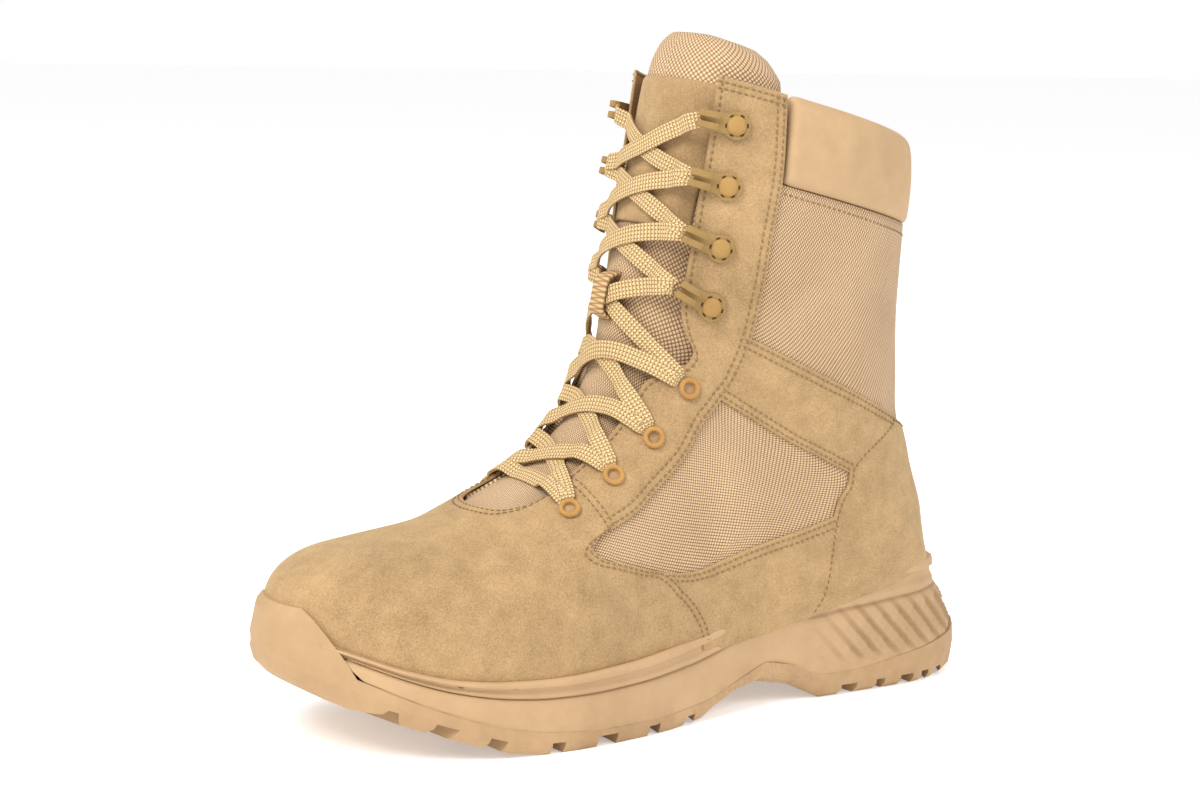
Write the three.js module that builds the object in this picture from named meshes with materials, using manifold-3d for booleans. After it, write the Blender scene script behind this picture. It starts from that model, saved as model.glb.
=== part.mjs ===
// A left combat boot with a lace front, a padded collar, a side zip and a lugged rubber sole.
// Millimetres. +X runs from heel to toe, +Y to the wearer's left (the outer side), +Z up.
// The origin is the middle of the heel's resting face, on the floor.
import * as THREE from 'three';
import * as BufferGeometryUtils from 'three/addons/utils/BufferGeometryUtils.js';
import Module from 'manifold-3d';

const wasm = await Module();
wasm.setup();

// Driving dimensions
const GAP = 0.3; // clearance between pieces that meet
const WALL = 3.0; // leather, foam and lining of the upper together
const HEEL_END = -50; // back of the sole
const TOE_END = 267; // front of the sole
const FRONT_RING = 19; // last ring of the last table below
const SIDES = { lateral: 1, medial: -1 };

// The last. Each row is one ring of the upper, on a straight line that runs from the sole or the
// back (xBack, zBack) to the top or the front (xFront, zFront). Rings stand upright at the toe, fan
// round the ankle and lie nearly level at the collar. mid is the ring's centre line in Y, outer and
// inner its reach on each side, at the fraction wide of the line, and round gives the fullness of
// the back and front halves, where 2 is an ellipse.
const LAST = [
  { ring: 0, xBack: 260.8, zBack: 42, xFront: 260.8, zFront: 50, mid: -3, outer: -2, inner: -4, wide: 0.4, roundBack: 2.2, roundFront: 2.2 },
  { ring: 1, xBack: 258, zBack: 34, xFront: 258, zFront: 59, mid: -3, outer: 11, inner: -16, wide: 0.4, roundBack: 2.6, roundFront: 2.2 },
  { ring: 2, xBack: 250, zBack: 29, xFront: 250, zFront: 65, mid: -3, outer: 25, inner: -30, wide: 0.4, roundBack: 3, roundFront: 2.3 },
  { ring: 3, xBack: 238, zBack: 24, xFront: 238, zFront: 69.5, mid: -3, outer: 37, inner: -40, wide: 0.4, roundBack: 3, roundFront: 2.3 },
  { ring: 4, xBack: 220, zBack: 17, xFront: 220, zFront: 72.5, mid: -3, outer: 47, inner: -46, wide: 0.4, roundBack: 3.5, roundFront: 2.2 },
  { ring: 5, xBack: 196, zBack: 13, xFront: 196, zFront: 77, mid: -2, outer: 53, inner: -47, wide: 0.38, roundBack: 3.5, roundFront: 2.1 },
  { ring: 6, xBack: 170, zBack: 12, xFront: 172, zFront: 87, mid: -1, outer: 54, inner: -44, wide: 0.34, roundBack: 4, roundFront: 2.3 },
  { ring: 7, xBack: 142, zBack: 13, xFront: 152, zFront: 98.5, mid: 0, outer: 51.5, inner: -40, wide: 0.34, roundBack: 4.5, roundFront: 2.3 },
  { ring: 8, xBack: 112, zBack: 15, xFront: 140, zFront: 112, mid: 0, outer: 47, inner: -38, wide: 0.36, roundBack: 4.5, roundFront: 2.2 },
  { ring: 9, xBack: 75, zBack: 21, xFront: 131, zFront: 127, mid: 0, outer: 43, inner: -39, wide: 0.4, roundBack: 4.8, roundFront: 2.1 },
  { ring: 10, xBack: 30, zBack: 31, xFront: 128, zFront: 141, mid: 0, outer: 41.5, inner: -40, wide: 0.44, roundBack: 4.8, roundFront: 2.1 },
  { ring: 11, xBack: -8, zBack: 38, xFront: 127, zFront: 150, mid: 0, outer: 40.5, inner: -40, wide: 0.46, roundBack: 4, roundFront: 2.1 },
  { ring: 12, xBack: -27.5, zBack: 46, xFront: 125.5, zFront: 157, mid: 0, outer: 40, inner: -40, wide: 0.48, roundBack: 2.8, roundFront: 2.2 },
  { ring: 13, xBack: -27, zBack: 64, xFront: 124, zFront: 165, mid: 0, outer: 40, inner: -40, wide: 0.48, roundBack: 2.2, roundFront: 2.2 },
  { ring: 14, xBack: -20.5, zBack: 88, xFront: 121.5, zFront: 175, mid: 0, outer: 40, inner: -40, wide: 0.48, roundBack: 2, roundFront: 2.3 },
  { ring: 15, xBack: -13.5, zBack: 118, xFront: 118, zFront: 188, mid: 0, outer: 41, inner: -41, wide: 0.49, roundBack: 2, roundFront: 2.3 },
  { ring: 16, xBack: -11.5, zBack: 153, xFront: 114, zFront: 203, mid: 0, outer: 42, inner: -42, wide: 0.5, roundBack: 2, roundFront: 2.4 },
  { ring: 17, xBack: -12.5, zBack: 188, xFront: 110, zFront: 217, mid: 0, outer: 42, inner: -42, wide: 0.5, roundBack: 2, roundFront: 2.5 },
  { ring: 18, xBack: -12, zBack: 222, xFront: 105.5, zFront: 250, mid: 0, outer: 41.5, inner: -41.5, wide: 0.5, roundBack: 2, roundFront: 2.5 },
  { ring: 19, xBack: -11, zBack: 250, xFront: 103, zFront: 280, mid: 0, outer: 41, inner: -41, wide: 0.5, roundBack: 2, roundFront: 2.5 },
];

// The sole's outline, as its reach to each side of the X axis.
const OUTLINE = [
  { x: HEEL_END, outer: 0, inner: 0 },
  { x: -44, outer: 17, inner: -17 },
  { x: -31, outer: 28.5, inner: -28.5 },
  { x: -8, outer: 36, inner: -36 },
  { x: 20, outer: 37.5, inner: -37.5 },
  { x: 60, outer: 39, inner: -36.5 },
  { x: 100, outer: 45.5, inner: -34 },
  { x: 135, outer: 54, inner: -38 },
  { x: 165, outer: 57.5, inner: -44.5 },
  { x: 195, outer: 56.5, inner: -49.5 },
  { x: 222, outer: 50, inner: -49 },
  { x: 243, outer: 37.5, inner: -42 },
  { x: 258, outer: 21.5, inner: -27 },
  { x: TOE_END, outer: -2, inner: -2 },
];

// The sole from the side: the tread that meets the floor, the top of the rubber on its flank (rubber),
// the top of the midsole (seat), and how far the top and the tread draw in from the outline.
const PROFILE = [
  { x: -51, tread: 7, rubber: 21, seat: 49, seatInset: 19, treadInset: 4 },
  { x: -41, tread: 2.2, rubber: 18, seat: 49.5, seatInset: 15, treadInset: 3 },
  { x: -28, tread: 0, rubber: 16.5, seat: 50, seatInset: 9, treadInset: 3.5 },
  { x: 0, tread: 0, rubber: 13, seat: 51, seatInset: 3, treadInset: 3.5 },
  { x: 24, tread: 0, rubber: 10, seat: 50.5, seatInset: 1.5, treadInset: 3.5 },
  { x: 43, tread: 0, rubber: 10, seat: 48, seatInset: 1.5, treadInset: 3.5 },
  { x: 52, tread: 6, rubber: 15, seat: 46.5, seatInset: 1.5, treadInset: 6 },
  { x: 64, tread: 10, rubber: 19.5, seat: 44, seatInset: 1.5, treadInset: 8 },
  { x: 80, tread: 8.5, rubber: 15, seat: 39.5, seatInset: 1.5, treadInset: 7 },
  { x: 95, tread: 3, rubber: 9.5, seat: 35.5, seatInset: 1.5, treadInset: 4 },
  { x: 108, tread: 0, rubber: 7, seat: 33, seatInset: 1.5, treadInset: 2 },
  { x: 140, tread: 0, rubber: 6.5, seat: 29.5, seatInset: 1.5, treadInset: 2 },
  { x: 176, tread: 0, rubber: 8.5, seat: 28, seatInset: 1.5, treadInset: 2 },
  { x: 190, tread: 1.8, rubber: 11, seat: 28.5, seatInset: 1.5, treadInset: 2 },
  { x: 212, tread: 8.2, rubber: 17.5, seat: 30.5, seatInset: 1.5, treadInset: 2.5 },
  { x: 230, tread: 14, rubber: 24.5, seat: 34.5, seatInset: 1.5, treadInset: 3 },
  { x: 248, tread: 20, rubber: 32.5, seat: 40.5, seatInset: 1.5, treadInset: 4 },
  { x: 268, tread: 29, rubber: 40, seat: 46, seatInset: 2, treadInset: 6 },
];

// Monotone cubic through the rows of a table, so that a column never overshoots between rows.
function column(rows, key, name) {
  const xs = rows.map((row) => row[key]);
  const ys = rows.map((row) => row[name]);
  const slopes = xs.slice(1).map((x, i) => (ys[i + 1] - ys[i]) / (x - xs[i]));
  const tangents = xs.map((_, i) => {
    if (i === 0) return slopes[0];
    if (i === xs.length - 1) return slopes[i - 1];
    const [before, after] = [slopes[i - 1], slopes[i]];
    if (before * after <= 0) return 0;
    const [left, right] = [xs[i] - xs[i - 1], xs[i + 1] - xs[i]];
    return (3 * (left + right)) / ((2 * right + left) / before + (right + 2 * left) / after);
  });
  return (x) => {
    const at = THREE.MathUtils.clamp(x, xs[0], xs[xs.length - 1]);
    const i = Math.min(xs.findLastIndex((value) => value <= at), xs.length - 2);
    const span = xs[i + 1] - xs[i];
    const u = (at - xs[i]) / span;
    const rise = (1 + 2 * u) * (1 - u) ** 2 * ys[i] + u * u * (3 - 2 * u) * ys[i + 1];
    return rise + u * (1 - u) * span * ((1 - u) * tangents[i] - u * tangents[i + 1]);
  };
}

function columns(rows, key) {
  const names = Object.keys(rows[0]).filter((name) => name !== key);
  return Object.fromEntries(names.map((name) => [name, column(rows, key, name)]));
}

const last = columns(LAST, 'ring');
const profile = columns(PROFILE, 'x');

// A point of the last. angle runs from 0 at the back or the sole, over the outer side, to PI at the
// front, and on over the inner side to 2 PI.
function bare(ring, angle) {
  const half = Math.cos(angle) > 0 ? last.roundBack(ring) : last.roundFront(ring);
  const cos = Math.abs(Math.cos(angle));
  const sin = Math.abs(Math.sin(angle));
  const reach = (cos ** half + sin ** half) ** (-1 / half);
  const wide = last.wide(ring);
  const along = Math.cos(angle) > 0 ? wide * (1 - reach * cos) : wide + (1 - wide) * reach * cos;
  const side = Math.sin(angle) >= 0 ? last.outer(ring) : last.inner(ring);
  const middle = last.mid(ring);
  return new THREE.Vector3(
    THREE.MathUtils.lerp(last.xBack(ring), last.xFront(ring), along),
    middle + (side - middle) * reach * sin,
    THREE.MathUtils.lerp(last.zBack(ring), last.zFront(ring), along),
  );
}

// The outward direction there, and the point moved along it.
const STEP = 0.02;
function outward(ring, angle) {
  const low = Math.max(ring - STEP, 0.1);
  const along = bare(low + 2 * STEP, angle).sub(bare(low, angle));
  const around = bare(ring, angle + STEP).sub(bare(ring, angle - STEP));
  return around.cross(along).normalize().negate();
}

function onLast(ring, angle, offset = 0) {
  return bare(ring, angle).addScaledVector(outward(ring, angle), offset);
}

// The angle on the front half of a ring at which the last is y wide of the middle.
function frontAngle(ring, y) {
  const middle = last.mid(ring);
  const side = y >= middle ? last.outer(ring) : last.inner(ring);
  const power = last.roundFront(ring);
  const across = Math.min((y - middle) / (side - middle), 1);
  const ahead = (1 - across ** power) ** (1 / power);
  const angle = Math.PI - Math.atan2(across, ahead);
  return y >= middle ? angle : 2 * Math.PI - angle;
}

// Closed solids. A loft joins rings of points, each a closed loop, and closes both ends.
function closed(points, faces) {
  let geometry = new THREE.BufferGeometry();
  geometry.setAttribute('position', new THREE.Float32BufferAttribute(points.flatMap((p) => [p.x, p.y, p.z]), 3));
  geometry.setIndex(faces.flat());
  geometry = BufferGeometryUtils.mergeVertices(geometry, 1e-4);
  let volume = 0;
  const at = (i) => new THREE.Vector3().fromBufferAttribute(geometry.attributes.position, geometry.index.array[i]);
  for (let i = 0; i < geometry.index.count; i += 3) volume += at(i).dot(at(i + 1).cross(at(i + 2)));
  if (volume < 0) geometry.index.array.reverse();
  return solid(geometry);
}

function solid(geometry) {
  const plain = geometry.clone();
  plain.deleteAttribute('normal');
  plain.deleteAttribute('uv');
  const merged = BufferGeometryUtils.mergeVertices(plain, 1e-4);
  return new wasm.Manifold(new wasm.Mesh({
    numProp: 3,
    vertProperties: Float32Array.from(merged.attributes.position.array),
    triVerts: Uint32Array.from(merged.index.array),
  }));
}

// capped 'fan' closes an end round its middle, 'ladder' joins each point to the one across from it.
function loft(rings, capped = 'fan') {
  const count = rings[0].length;
  const points = rings.flat();
  const faces = [];
  for (let i = 0; i + 1 < rings.length; i++) {
    for (let j = 0; j < count; j++) {
      const [a, b] = [i * count + j, i * count + ((j + 1) % count)];
      faces.push([a, b, b + count], [a, b + count, a + count]);
    }
  }
  for (const end of [0, rings.length - 1]) {
    const first = end * count;
    const flip = (face) => faces.push(end === 0 ? face.reverse() : face);
    if (capped === 'fan') {
      const middle = rings[end].reduce((sum, p) => sum.add(p), new THREE.Vector3()).divideScalar(count);
      points.push(middle);
      for (let j = 0; j < count; j++) flip([first + j, first + ((j + 1) % count), points.length - 1]);
    } else {
      for (let j = 0; j < count / 2; j++) {
        const [a, b] = [first + j, first + j + 1];
        const [c, d] = [first + ((count - j - 1) % count), first + ((count - j) % count)];
        if (j < count / 2 - 1) flip([a, b, c]);
        if (j > 0) flip([a, c, d]);
      }
    }
  }
  return closed(points, faces);
}

// A form of the last, larger or smaller by offset, between two rings.
function form(offset, firstRing, lastRing, ringCount, pointCount) {
  const rings = [];
  for (let i = 0; i <= ringCount; i++) {
    const ring = THREE.MathUtils.lerp(firstRing, lastRing, i / ringCount);
    const loop = [];
    for (let j = 0; j < pointCount; j++) loop.push(onLast(ring, (2 * Math.PI * j) / pointCount, offset));
    rings.push(loop);
  }
  return loft(rings);
}

// A flat outline in X and Z, pushed across the whole boot in Y.
function slab(outline, low = -90, high = 90) {
  const shape = new THREE.Shape(outline.map(([x, z]) => new THREE.Vector2(x, z)));
  const geometry = new THREE.ExtrudeGeometry(shape, { depth: high - low, bevelEnabled: false });
  geometry.rotateX(Math.PI / 2).translate(0, high, 0);
  return solid(geometry);
}

function box(width, depth, height, matrix) {
  return solid(new THREE.BoxGeometry(width, depth, height).applyMatrix4(matrix));
}

// A patch of the last between two offsets: rows of [ring, angle] pairs along its length.
function patch(rows, low, high) {
  const rings = rows.map((row) => [
    ...row.map(([ring, angle]) => onLast(ring, angle, high)),
    ...row.toReversed().map(([ring, angle]) => onLast(ring, angle, low)),
  ]);
  return loft(rings, 'ladder');
}

const range = (count) => Array.from({ length: count + 1 }, (_, i) => i / count);

// Materials and the finished group
const boot = new THREE.Group();
const MATERIALS = {
  rubber: { color: 0xcdae82, roughness: 0.85 },
  foam: { color: 0xd2b387, roughness: 0.8 },
  shell: { color: 0xd8b792, roughness: 0.9 },
  suede: { color: 0xc4a878, roughness: 0.95 },
  collar: { color: 0xcdae84, roughness: 0.6 },
  tongue: { color: 0xd9b896, roughness: 0.9 },
  sockliner: { color: 0x8d7657, roughness: 0.9 },
  lace: { color: 0xd6bd8c, roughness: 0.8 },
  hook: { color: 0xa88a50, roughness: 0.45, metalness: 0.4 },
  zip: { color: 0x5a463a, roughness: 0.6 },
  metal: { color: 0x8a7c70, roughness: 0.35, metalness: 0.9 },
};
function piece(name, manifold, material) {
  const mesh = manifold.getMesh();
  const geometry = new THREE.BufferGeometry();
  geometry.setAttribute('position', new THREE.BufferAttribute(Float32Array.from(mesh.vertProperties), 3));
  geometry.setIndex(new THREE.BufferAttribute(Uint32Array.from(mesh.triVerts), 1));
  geometry.computeVertexNormals();
  const part = new THREE.Mesh(geometry, new THREE.MeshStandardMaterial(MATERIALS[material]));
  part.name = name;
  boot.add(part);
}

// SOLE
// The outline is followed heel to toe by u, which bunches its points at the two round ends.
const SOLE_STEPS = 31;
const soleTurn = (x) => Math.acos(1 - (2 * (x - HEEL_END)) / (TOE_END - HEEL_END)) / Math.PI;
const outline = columns(OUTLINE.map((row) => ({ ...row, x: soleTurn(row.x) })), 'x');
function soleEdge(u, side, inset) {
  const point = (v) => new THREE.Vector2(
    THREE.MathUtils.lerp(HEEL_END, TOE_END, (1 - Math.cos(Math.PI * v)) / 2),
    (side > 0 ? outline.outer : outline.inner)(THREE.MathUtils.clamp(v, 0, 1)),
  );
  const along = point(Math.min(u + STEP / 4, 1)).sub(point(Math.max(u - STEP / 4, 0))).normalize();
  if (u < STEP / 8) along.set(0, side);
  if (u > 1 - STEP / 8) along.set(0, -side);
  const at = point(u);
  return new THREE.Vector2(at.x + along.y * side * inset, at.y - along.x * side * inset);
}

// One level loop of the sole: inset and height are functions of x.
function soleLoop(inset, height) {
  const loop = [];
  for (let j = 0; j < 2 * SOLE_STEPS; j++) {
    const side = j <= SOLE_STEPS ? SIDES.lateral : SIDES.medial;
    const u = (j <= SOLE_STEPS ? j : 2 * SOLE_STEPS - j) / SOLE_STEPS;
    const x = soleEdge(u, side, 0).x;
    const at = soleEdge(u, side, inset(x));
    loop.push(new THREE.Vector3(at.x, at.y, height(at.x)));
  }
  return loop;
}

// The toe bumper's back face leans forward from the flank of the sole to the bumper's top corners.
const BUMPER = { backLow: 240, backHigh: 257.3, low: 22, high: 54, topInset: 4.5 };
const bumperBack = (z) => THREE.MathUtils.mapLinear(z, BUMPER.low, BUMPER.high, BUMPER.backLow, BUMPER.backHigh);
const BEYOND = 300; // past everything, for cutters
const lastForm = form(GAP, 0.02, FRONT_RING, 44, 40);
const overSeat = slab([
  ...range(24).map((u) => THREE.MathUtils.lerp(-60, 290, u)).map((x) => [x, profile.seat(x)]),
  [290, BEYOND],
  [-60, BEYOND],
]);

function flank(levels) {
  return loft(levels.map(({ inset, height }) => soleLoop(inset, height)), 'ladder');
}

const mix = (a, b, share) => (x) => THREE.MathUtils.lerp(a(x), b(x), share);
const rubberBody = flank([
  { inset: profile.treadInset, height: profile.tread },
  { inset: mix(profile.treadInset, () => 0, 0.75), height: (x) => profile.tread(x) + 2.5 },
  { inset: () => 0, height: mix(profile.tread, profile.rubber, 0.6) },
  { inset: () => 0.5, height: profile.rubber },
]);
const bumperBlock = flank([
  { inset: profile.treadInset, height: profile.tread },
  { inset: () => 0.6, height: (x) => profile.tread(x) + 5 },
  { inset: () => 0, height: () => 40 },
  { inset: () => BUMPER.topInset - 2.5, height: () => BUMPER.high - 3.5 },
  { inset: () => BUMPER.topInset, height: () => BUMPER.high },
]).intersect(slab([[bumperBack(0), 0], [BEYOND, 0], [BEYOND, 80], [bumperBack(80), 80]]));

// Treads between the lugs: each row is a groove from the edge of the sole to reach from the middle.
const LUG_DEPTH = 4.5;
const GROOVES = [
  { x: -29, width: 4, skew: -28, deep: 15 },
  { x: -18, width: 4, skew: -14, deep: 15 },
  { x: -6, width: 7, skew: 0, deep: 16 },
  { x: 9, width: 4.5, skew: 6, deep: 16 },
  { x: 26, width: 8, skew: 10, deep: 16 },
  { x: 107, width: 5, skew: -12, deep: 18 },
  { x: 127, width: 5.5, skew: -8, deep: 20 },
  { x: 151, width: 9, skew: 0, deep: 22 },
  { x: 174, width: 5.5, skew: 6, deep: 24 },
  { x: 201, width: 6.5, skew: 14, deep: 24 },
  { x: 222, width: 6.5, skew: 24, deep: 22 },
  { x: 240, width: 6, skew: 36, deep: 18 },
];
const grooves = GROOVES.flatMap(({ x, width, skew, deep }) => Object.values(SIDES).map((side) => {
  const reach = (side > 0 ? outline.outer : outline.inner)(soleTurn(x));
  const slope = Math.atan2(profile.tread(x + 6) - profile.tread(x - 6), 12);
  const matrix = new THREE.Matrix4().makeTranslation(x, reach - side * (deep / 2 - 2), profile.tread(x));
  matrix.multiply(new THREE.Matrix4().makeRotationY(-slope));
  matrix.multiply(new THREE.Matrix4().makeRotationZ(THREE.MathUtils.degToRad(side * skew)));
  return box(width, deep + 8, 2 * LUG_DEPTH, matrix);
}));

const tread = grooves.reduce((body, groove) => body.subtract(groove), rubberBody.add(bumperBlock));
const outsole = tread.subtract(lastForm.intersect(overSeat));
piece('outsole', outsole, 'rubber');

// Midsole: a foam wedge between the rubber and the upper, waisted by a groove round its flank.
const overRubber = (x) => profile.rubber(x) + GAP;
const midsole = flank([
  { inset: mix(() => 1, profile.seatInset, 0.1), height: overRubber },
  { inset: mix(() => 0, profile.seatInset, 0.3), height: mix(overRubber, profile.seat, 0.3) },
  { inset: mix(() => 1.8, profile.seatInset, 0.7), height: mix(overRubber, profile.seat, 0.72) },
  { inset: mix(() => 0, profile.seatInset, 0.82), height: mix(overRubber, profile.seat, 0.84) },
  { inset: profile.seatInset, height: profile.seat },
]).intersect(slab([[-90, 0], [bumperBack(0) - GAP, 0], [bumperBack(80) - GAP, 80], [-90, 80]]));
piece('midsole', midsole, 'foam');

// UPPER
const SEAT_STEPS = 30;
const seatCut = slab([
  ...range(SEAT_STEPS).map((u) => THREE.MathUtils.lerp(-60, 290, u)).map((x) => [x, profile.seat(x) + GAP]),
  [290, -20],
  [-60, -20],
]);

// The place on one side of the last that shows at x and z from the side, as its ring and angle.
function atSide(x, z, side) {
  let [low, high] = [0, FRONT_RING];
  for (let i = 0; i < 30; i++) {
    const ring = (low + high) / 2;
    const [dx, dz] = [last.xFront(ring) - last.xBack(ring), last.zFront(ring) - last.zBack(ring)];
    const above = dx * (z - last.zBack(ring)) - dz * (x - last.xBack(ring)) > 0;
    if (above) low = ring;
    else high = ring;
  }
  const [dx, dz] = [last.xFront(low) - last.xBack(low), last.zFront(low) - last.zBack(low)];
  const along = ((x - last.xBack(low)) * dx + (z - last.zBack(low)) * dz) / (dx * dx + dz * dz);
  const wide = last.wide(low);
  const front = along > wide;
  const power = front ? last.roundFront(low) : last.roundBack(low);
  const cos = Math.min(Math.abs(along - wide) / (front ? 1 - wide : wide), 1);
  const angle = Math.atan2((1 - cos ** power) ** (1 / power), front ? -cos : cos);
  return [low, side > 0 ? angle : 2 * Math.PI - angle];
}

// A ring seen from the side is a straight line: its height at x.
function ringHeight(ring, x) {
  const rise = (last.zFront(ring) - last.zBack(ring)) / (last.xFront(ring) - last.xBack(ring));
  return last.zBack(ring) + rise * (x - last.xBack(ring));
}

// The shaft stops at the collar's lower seam, and only the two facings go on to the top line.
const TOP_RING = 18;
const COLLAR_RING = 16.93;
const FACING_BACK = 70; // rear edge of the facings beside the collar
const [OPEN_BACK, OPEN_FRONT] = [-60, 150];
const aboveTop = slab([
  [OPEN_BACK, ringHeight(COLLAR_RING, OPEN_BACK)],
  [FACING_BACK, ringHeight(COLLAR_RING, FACING_BACK)],
  [FACING_BACK, ringHeight(TOP_RING, FACING_BACK)],
  [OPEN_FRONT, ringHeight(TOP_RING, OPEN_FRONT)],
  [OPEN_FRONT, BEYOND],
  [OPEN_BACK, BEYOND],
]);

// The throat's two edges, from its round lower end, past the step above the top eyelet, to the top.
const THROAT = [
  { ring: 5.66, outer: 4, inner: -1 },
  { ring: 5.7, outer: 8, inner: -4 },
  { ring: 5.8, outer: 14, inner: -9 },
  { ring: 5.98, outer: 19, inner: -13 },
  { ring: 6.3, outer: 22, inner: -15.5 },
  { ring: 6.8, outer: 20.5, inner: -15.5 },
  { ring: 7.3, outer: 21.5, inner: -16.5 },
  { ring: 8.3, outer: 22.2, inner: -18.5 },
  { ring: 9.1, outer: 22.5, inner: -20 },
  { ring: 9.9, outer: 23.5, inner: -22 },
  { ring: 10.6, outer: 26, inner: -25.5 },
  { ring: 11.7, outer: 29.5, inner: -29.5 },
  { ring: 12.2, outer: 30, inner: -30 },
  { ring: 12.8, outer: 28.2, inner: -28.2 },
  { ring: 13.5, outer: 27.2, inner: -27.2 },
  { ring: 14.6, outer: 27.8, inner: -27.8 },
  { ring: 16, outer: 28.8, inner: -28.8 },
  { ring: FRONT_RING, outer: 29, inner: -29 },
];
const throat = columns(THROAT, 'ring');
const [AHEAD, BEHIND] = [12, -30]; // the cutter's reach along a ring from the front of the last
const throatRings = THROAT.flatMap(({ ring }, i) => (i + 1 < THROAT.length ? [ring, (ring + THROAT[i + 1].ring) / 2] : [ring]));
const throatCut = loft(throatRings.map((ring) => {
  const line = new THREE.Vector3(last.xFront(ring) - last.xBack(ring), 0, last.zFront(ring) - last.zBack(ring)).normalize();
  const corner = (edge, ahead) => bare(ring, Math.PI).addScaledVector(line, ahead).setY(edge(ring));
  const { outer, inner } = throat;
  return [corner(outer, AHEAD), corner(inner, AHEAD), corner(inner, BEHIND), corner(outer, BEHIND)];
}));

// The zip's slit runs down the inner side, from the collar to just above the sole.
const ZIP = { slit: 9, tape: 8.4, foot: 54, outside: -0.6, inside: -2.6 };
const ZIP_LINE = [
  { z: 46, x: 68 },
  { z: 73, x: 61.3 },
  { z: 117, x: 50.6 },
  { z: 148, x: 42.5 },
  { z: 172, x: 38 },
  { z: 197, x: 34 },
  { z: 240, x: 28.5 },
];
const zipX = column(ZIP_LINE, 'z', 'x');
function zipRows(width, low, high, count) {
  return range(count).map((u) => {
    const z = THREE.MathUtils.lerp(low, high, u);
    const lean = new THREE.Vector2(zipX(z + 1) - zipX(z - 1), 2).normalize();
    return [-width / 2, 0, width / 2].map((across) => atSide(zipX(z) + across * lean.y, z - across * lean.x, SIDES.medial));
  });
}
const slit = patch(zipRows(ZIP.slit, ZIP.foot, 214, 14), -WALL - 2, 3);

// Lacing points, from the vamp up: four eyelets and then four hooks on each side.
const EYELETS = [
  { ring: 6.67, lateral: 33.2, medial: -26 },
  { ring: 7.88, lateral: 32.2, medial: -27 },
  { ring: 9.14, lateral: 31.3, medial: -28.5 },
  { ring: 10.78, lateral: 31, medial: -30 },
];
const HOOKS = [
  { ring: 14.01, lateral: 32.4, medial: -32.4 },
  { ring: 15.37, lateral: 33.9, medial: -33.9 },
  { ring: 16.65, lateral: 34.4, medial: -34.4 },
  { ring: 17.52, lateral: 34.2, medial: -34.2 },
];
const EYELET = { hole: 2, barrel: 2.6, flange: 4.3, lift: 0.5, rise: 0.8, depth: 3.6, bore: 2.9 };

// A frame on the last: X towards the throat, Y up along the facing, Z outwards.
function placed(point, sideName, offset = 0) {
  const { ring } = point;
  const side = SIDES[sideName];
  const at = frontAngle(ring, point[sideName]);
  const ahead = bare(ring, at + side * STEP).sub(bare(ring, at)).normalize();
  const out = outward(ring, at);
  const up = new THREE.Vector3().crossVectors(out, ahead);
  const matrix = new THREE.Matrix4().makeBasis(ahead, up, out);
  return matrix.setPosition(onLast(ring, at, offset));
}
const bores = EYELETS.flatMap((at) => Object.keys(SIDES).map((sideName) => solid(
  new THREE.CylinderGeometry(EYELET.bore, EYELET.bore, 4 * WALL, 12).rotateX(Math.PI / 2).applyMatrix4(placed(at, sideName)),
)));

// Hollow shell: the outer form less the inner one, open underneath, down the throat, along the zip
// and at the top.
const outerForm = form(0, 0.02, FRONT_RING, 28, 26);
const innerForm = form(-WALL, 1.1, FRONT_RING + 0.6, 21, 20);
const shell = [innerForm, seatCut, aboveTop, throatCut, slit, ...bores].reduce((body, cut) => body.subtract(cut), outerForm);
piece('upper', shell, 'shell');

// INSOLE
const INSOLE = { thick: 4, rings: 13, inset: 2.2 };
const overInsole = slab([
  ...range(SEAT_STEPS).map((u) => THREE.MathUtils.lerp(-60, 290, u)).map((x) => [x, profile.seat(x) + GAP + INSOLE.thick]),
  [290, BEYOND],
  [-60, BEYOND],
]);
const insole = form(-WALL - INSOLE.inset, 1.3, INSOLE.rings, 20, 20).subtract(seatCut).subtract(overInsole);
piece('insole', insole, 'sockliner');

// TONGUE
// Half its width, how deep it lies under the last's surface and how thick it is, ring by ring.
const TONGUE = [
  { ring: 5.2, half: 20, depth: 4.1, thick: 2.6 },
  { ring: 6, half: 26, depth: 4.1, thick: 3 },
  { ring: 7.5, half: 27, depth: 4.1, thick: 3.4 },
  { ring: 9, half: 27, depth: 4.1, thick: 4 },
  { ring: 10.5, half: 30, depth: 4.1, thick: 4.5 },
  { ring: 12.2, half: 34, depth: 4.1, thick: 5 },
  { ring: 14.5, half: 36.5, depth: 4.1, thick: 6 },
  { ring: 16.5, half: 38.5, depth: 4.1, thick: 7 },
  { ring: 17.5, half: 38.8, depth: 4.6, thick: 8.5 },
  { ring: 18, half: 38.5, depth: 6.5, thick: 9.5 },
  { ring: 18.28, half: 37, depth: 9.5, thick: 9 },
  { ring: 18.42, half: 33, depth: 12.5, thick: 5 },
];
const tongue = columns(TONGUE, 'ring');
const TONGUE_RINGS = [5.2, 5.6, 6, 6.7, 7.5, 8.4, 9.4, 10.5, 11.4, 12.2, 13.3, 14.5, 16, 17, 17.6, 18, 18.28, 18.42];
const ACROSS = [-1, -0.92, -0.6, 0, 0.6, 0.92, 1];
const tongueSolid = loft(TONGUE_RINGS.map((ring) => {
  const lie = (share, depth) => onLast(ring, frontAngle(ring, share * tongue.half(ring)), -depth);
  const edge = (share) => (1 - Math.abs(share) ** 6) ** (1 / 6); // thins to a third at its two edges
  const low = tongue.depth(ring) + tongue.thick(ring);
  const middle = tongue.depth(ring) + tongue.thick(ring) / 3;
  return [
    ...ACROSS.map((share) => lie(share, THREE.MathUtils.lerp(middle, tongue.depth(ring), edge(share)))),
    ...ACROSS.toReversed().map((share) => lie(share, THREE.MathUtils.lerp(middle + tongue.thick(ring) / 3, low, edge(share)))),
  ];
}), 'ladder');
piece('tongue', tongueSolid, 'tongue');

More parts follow.
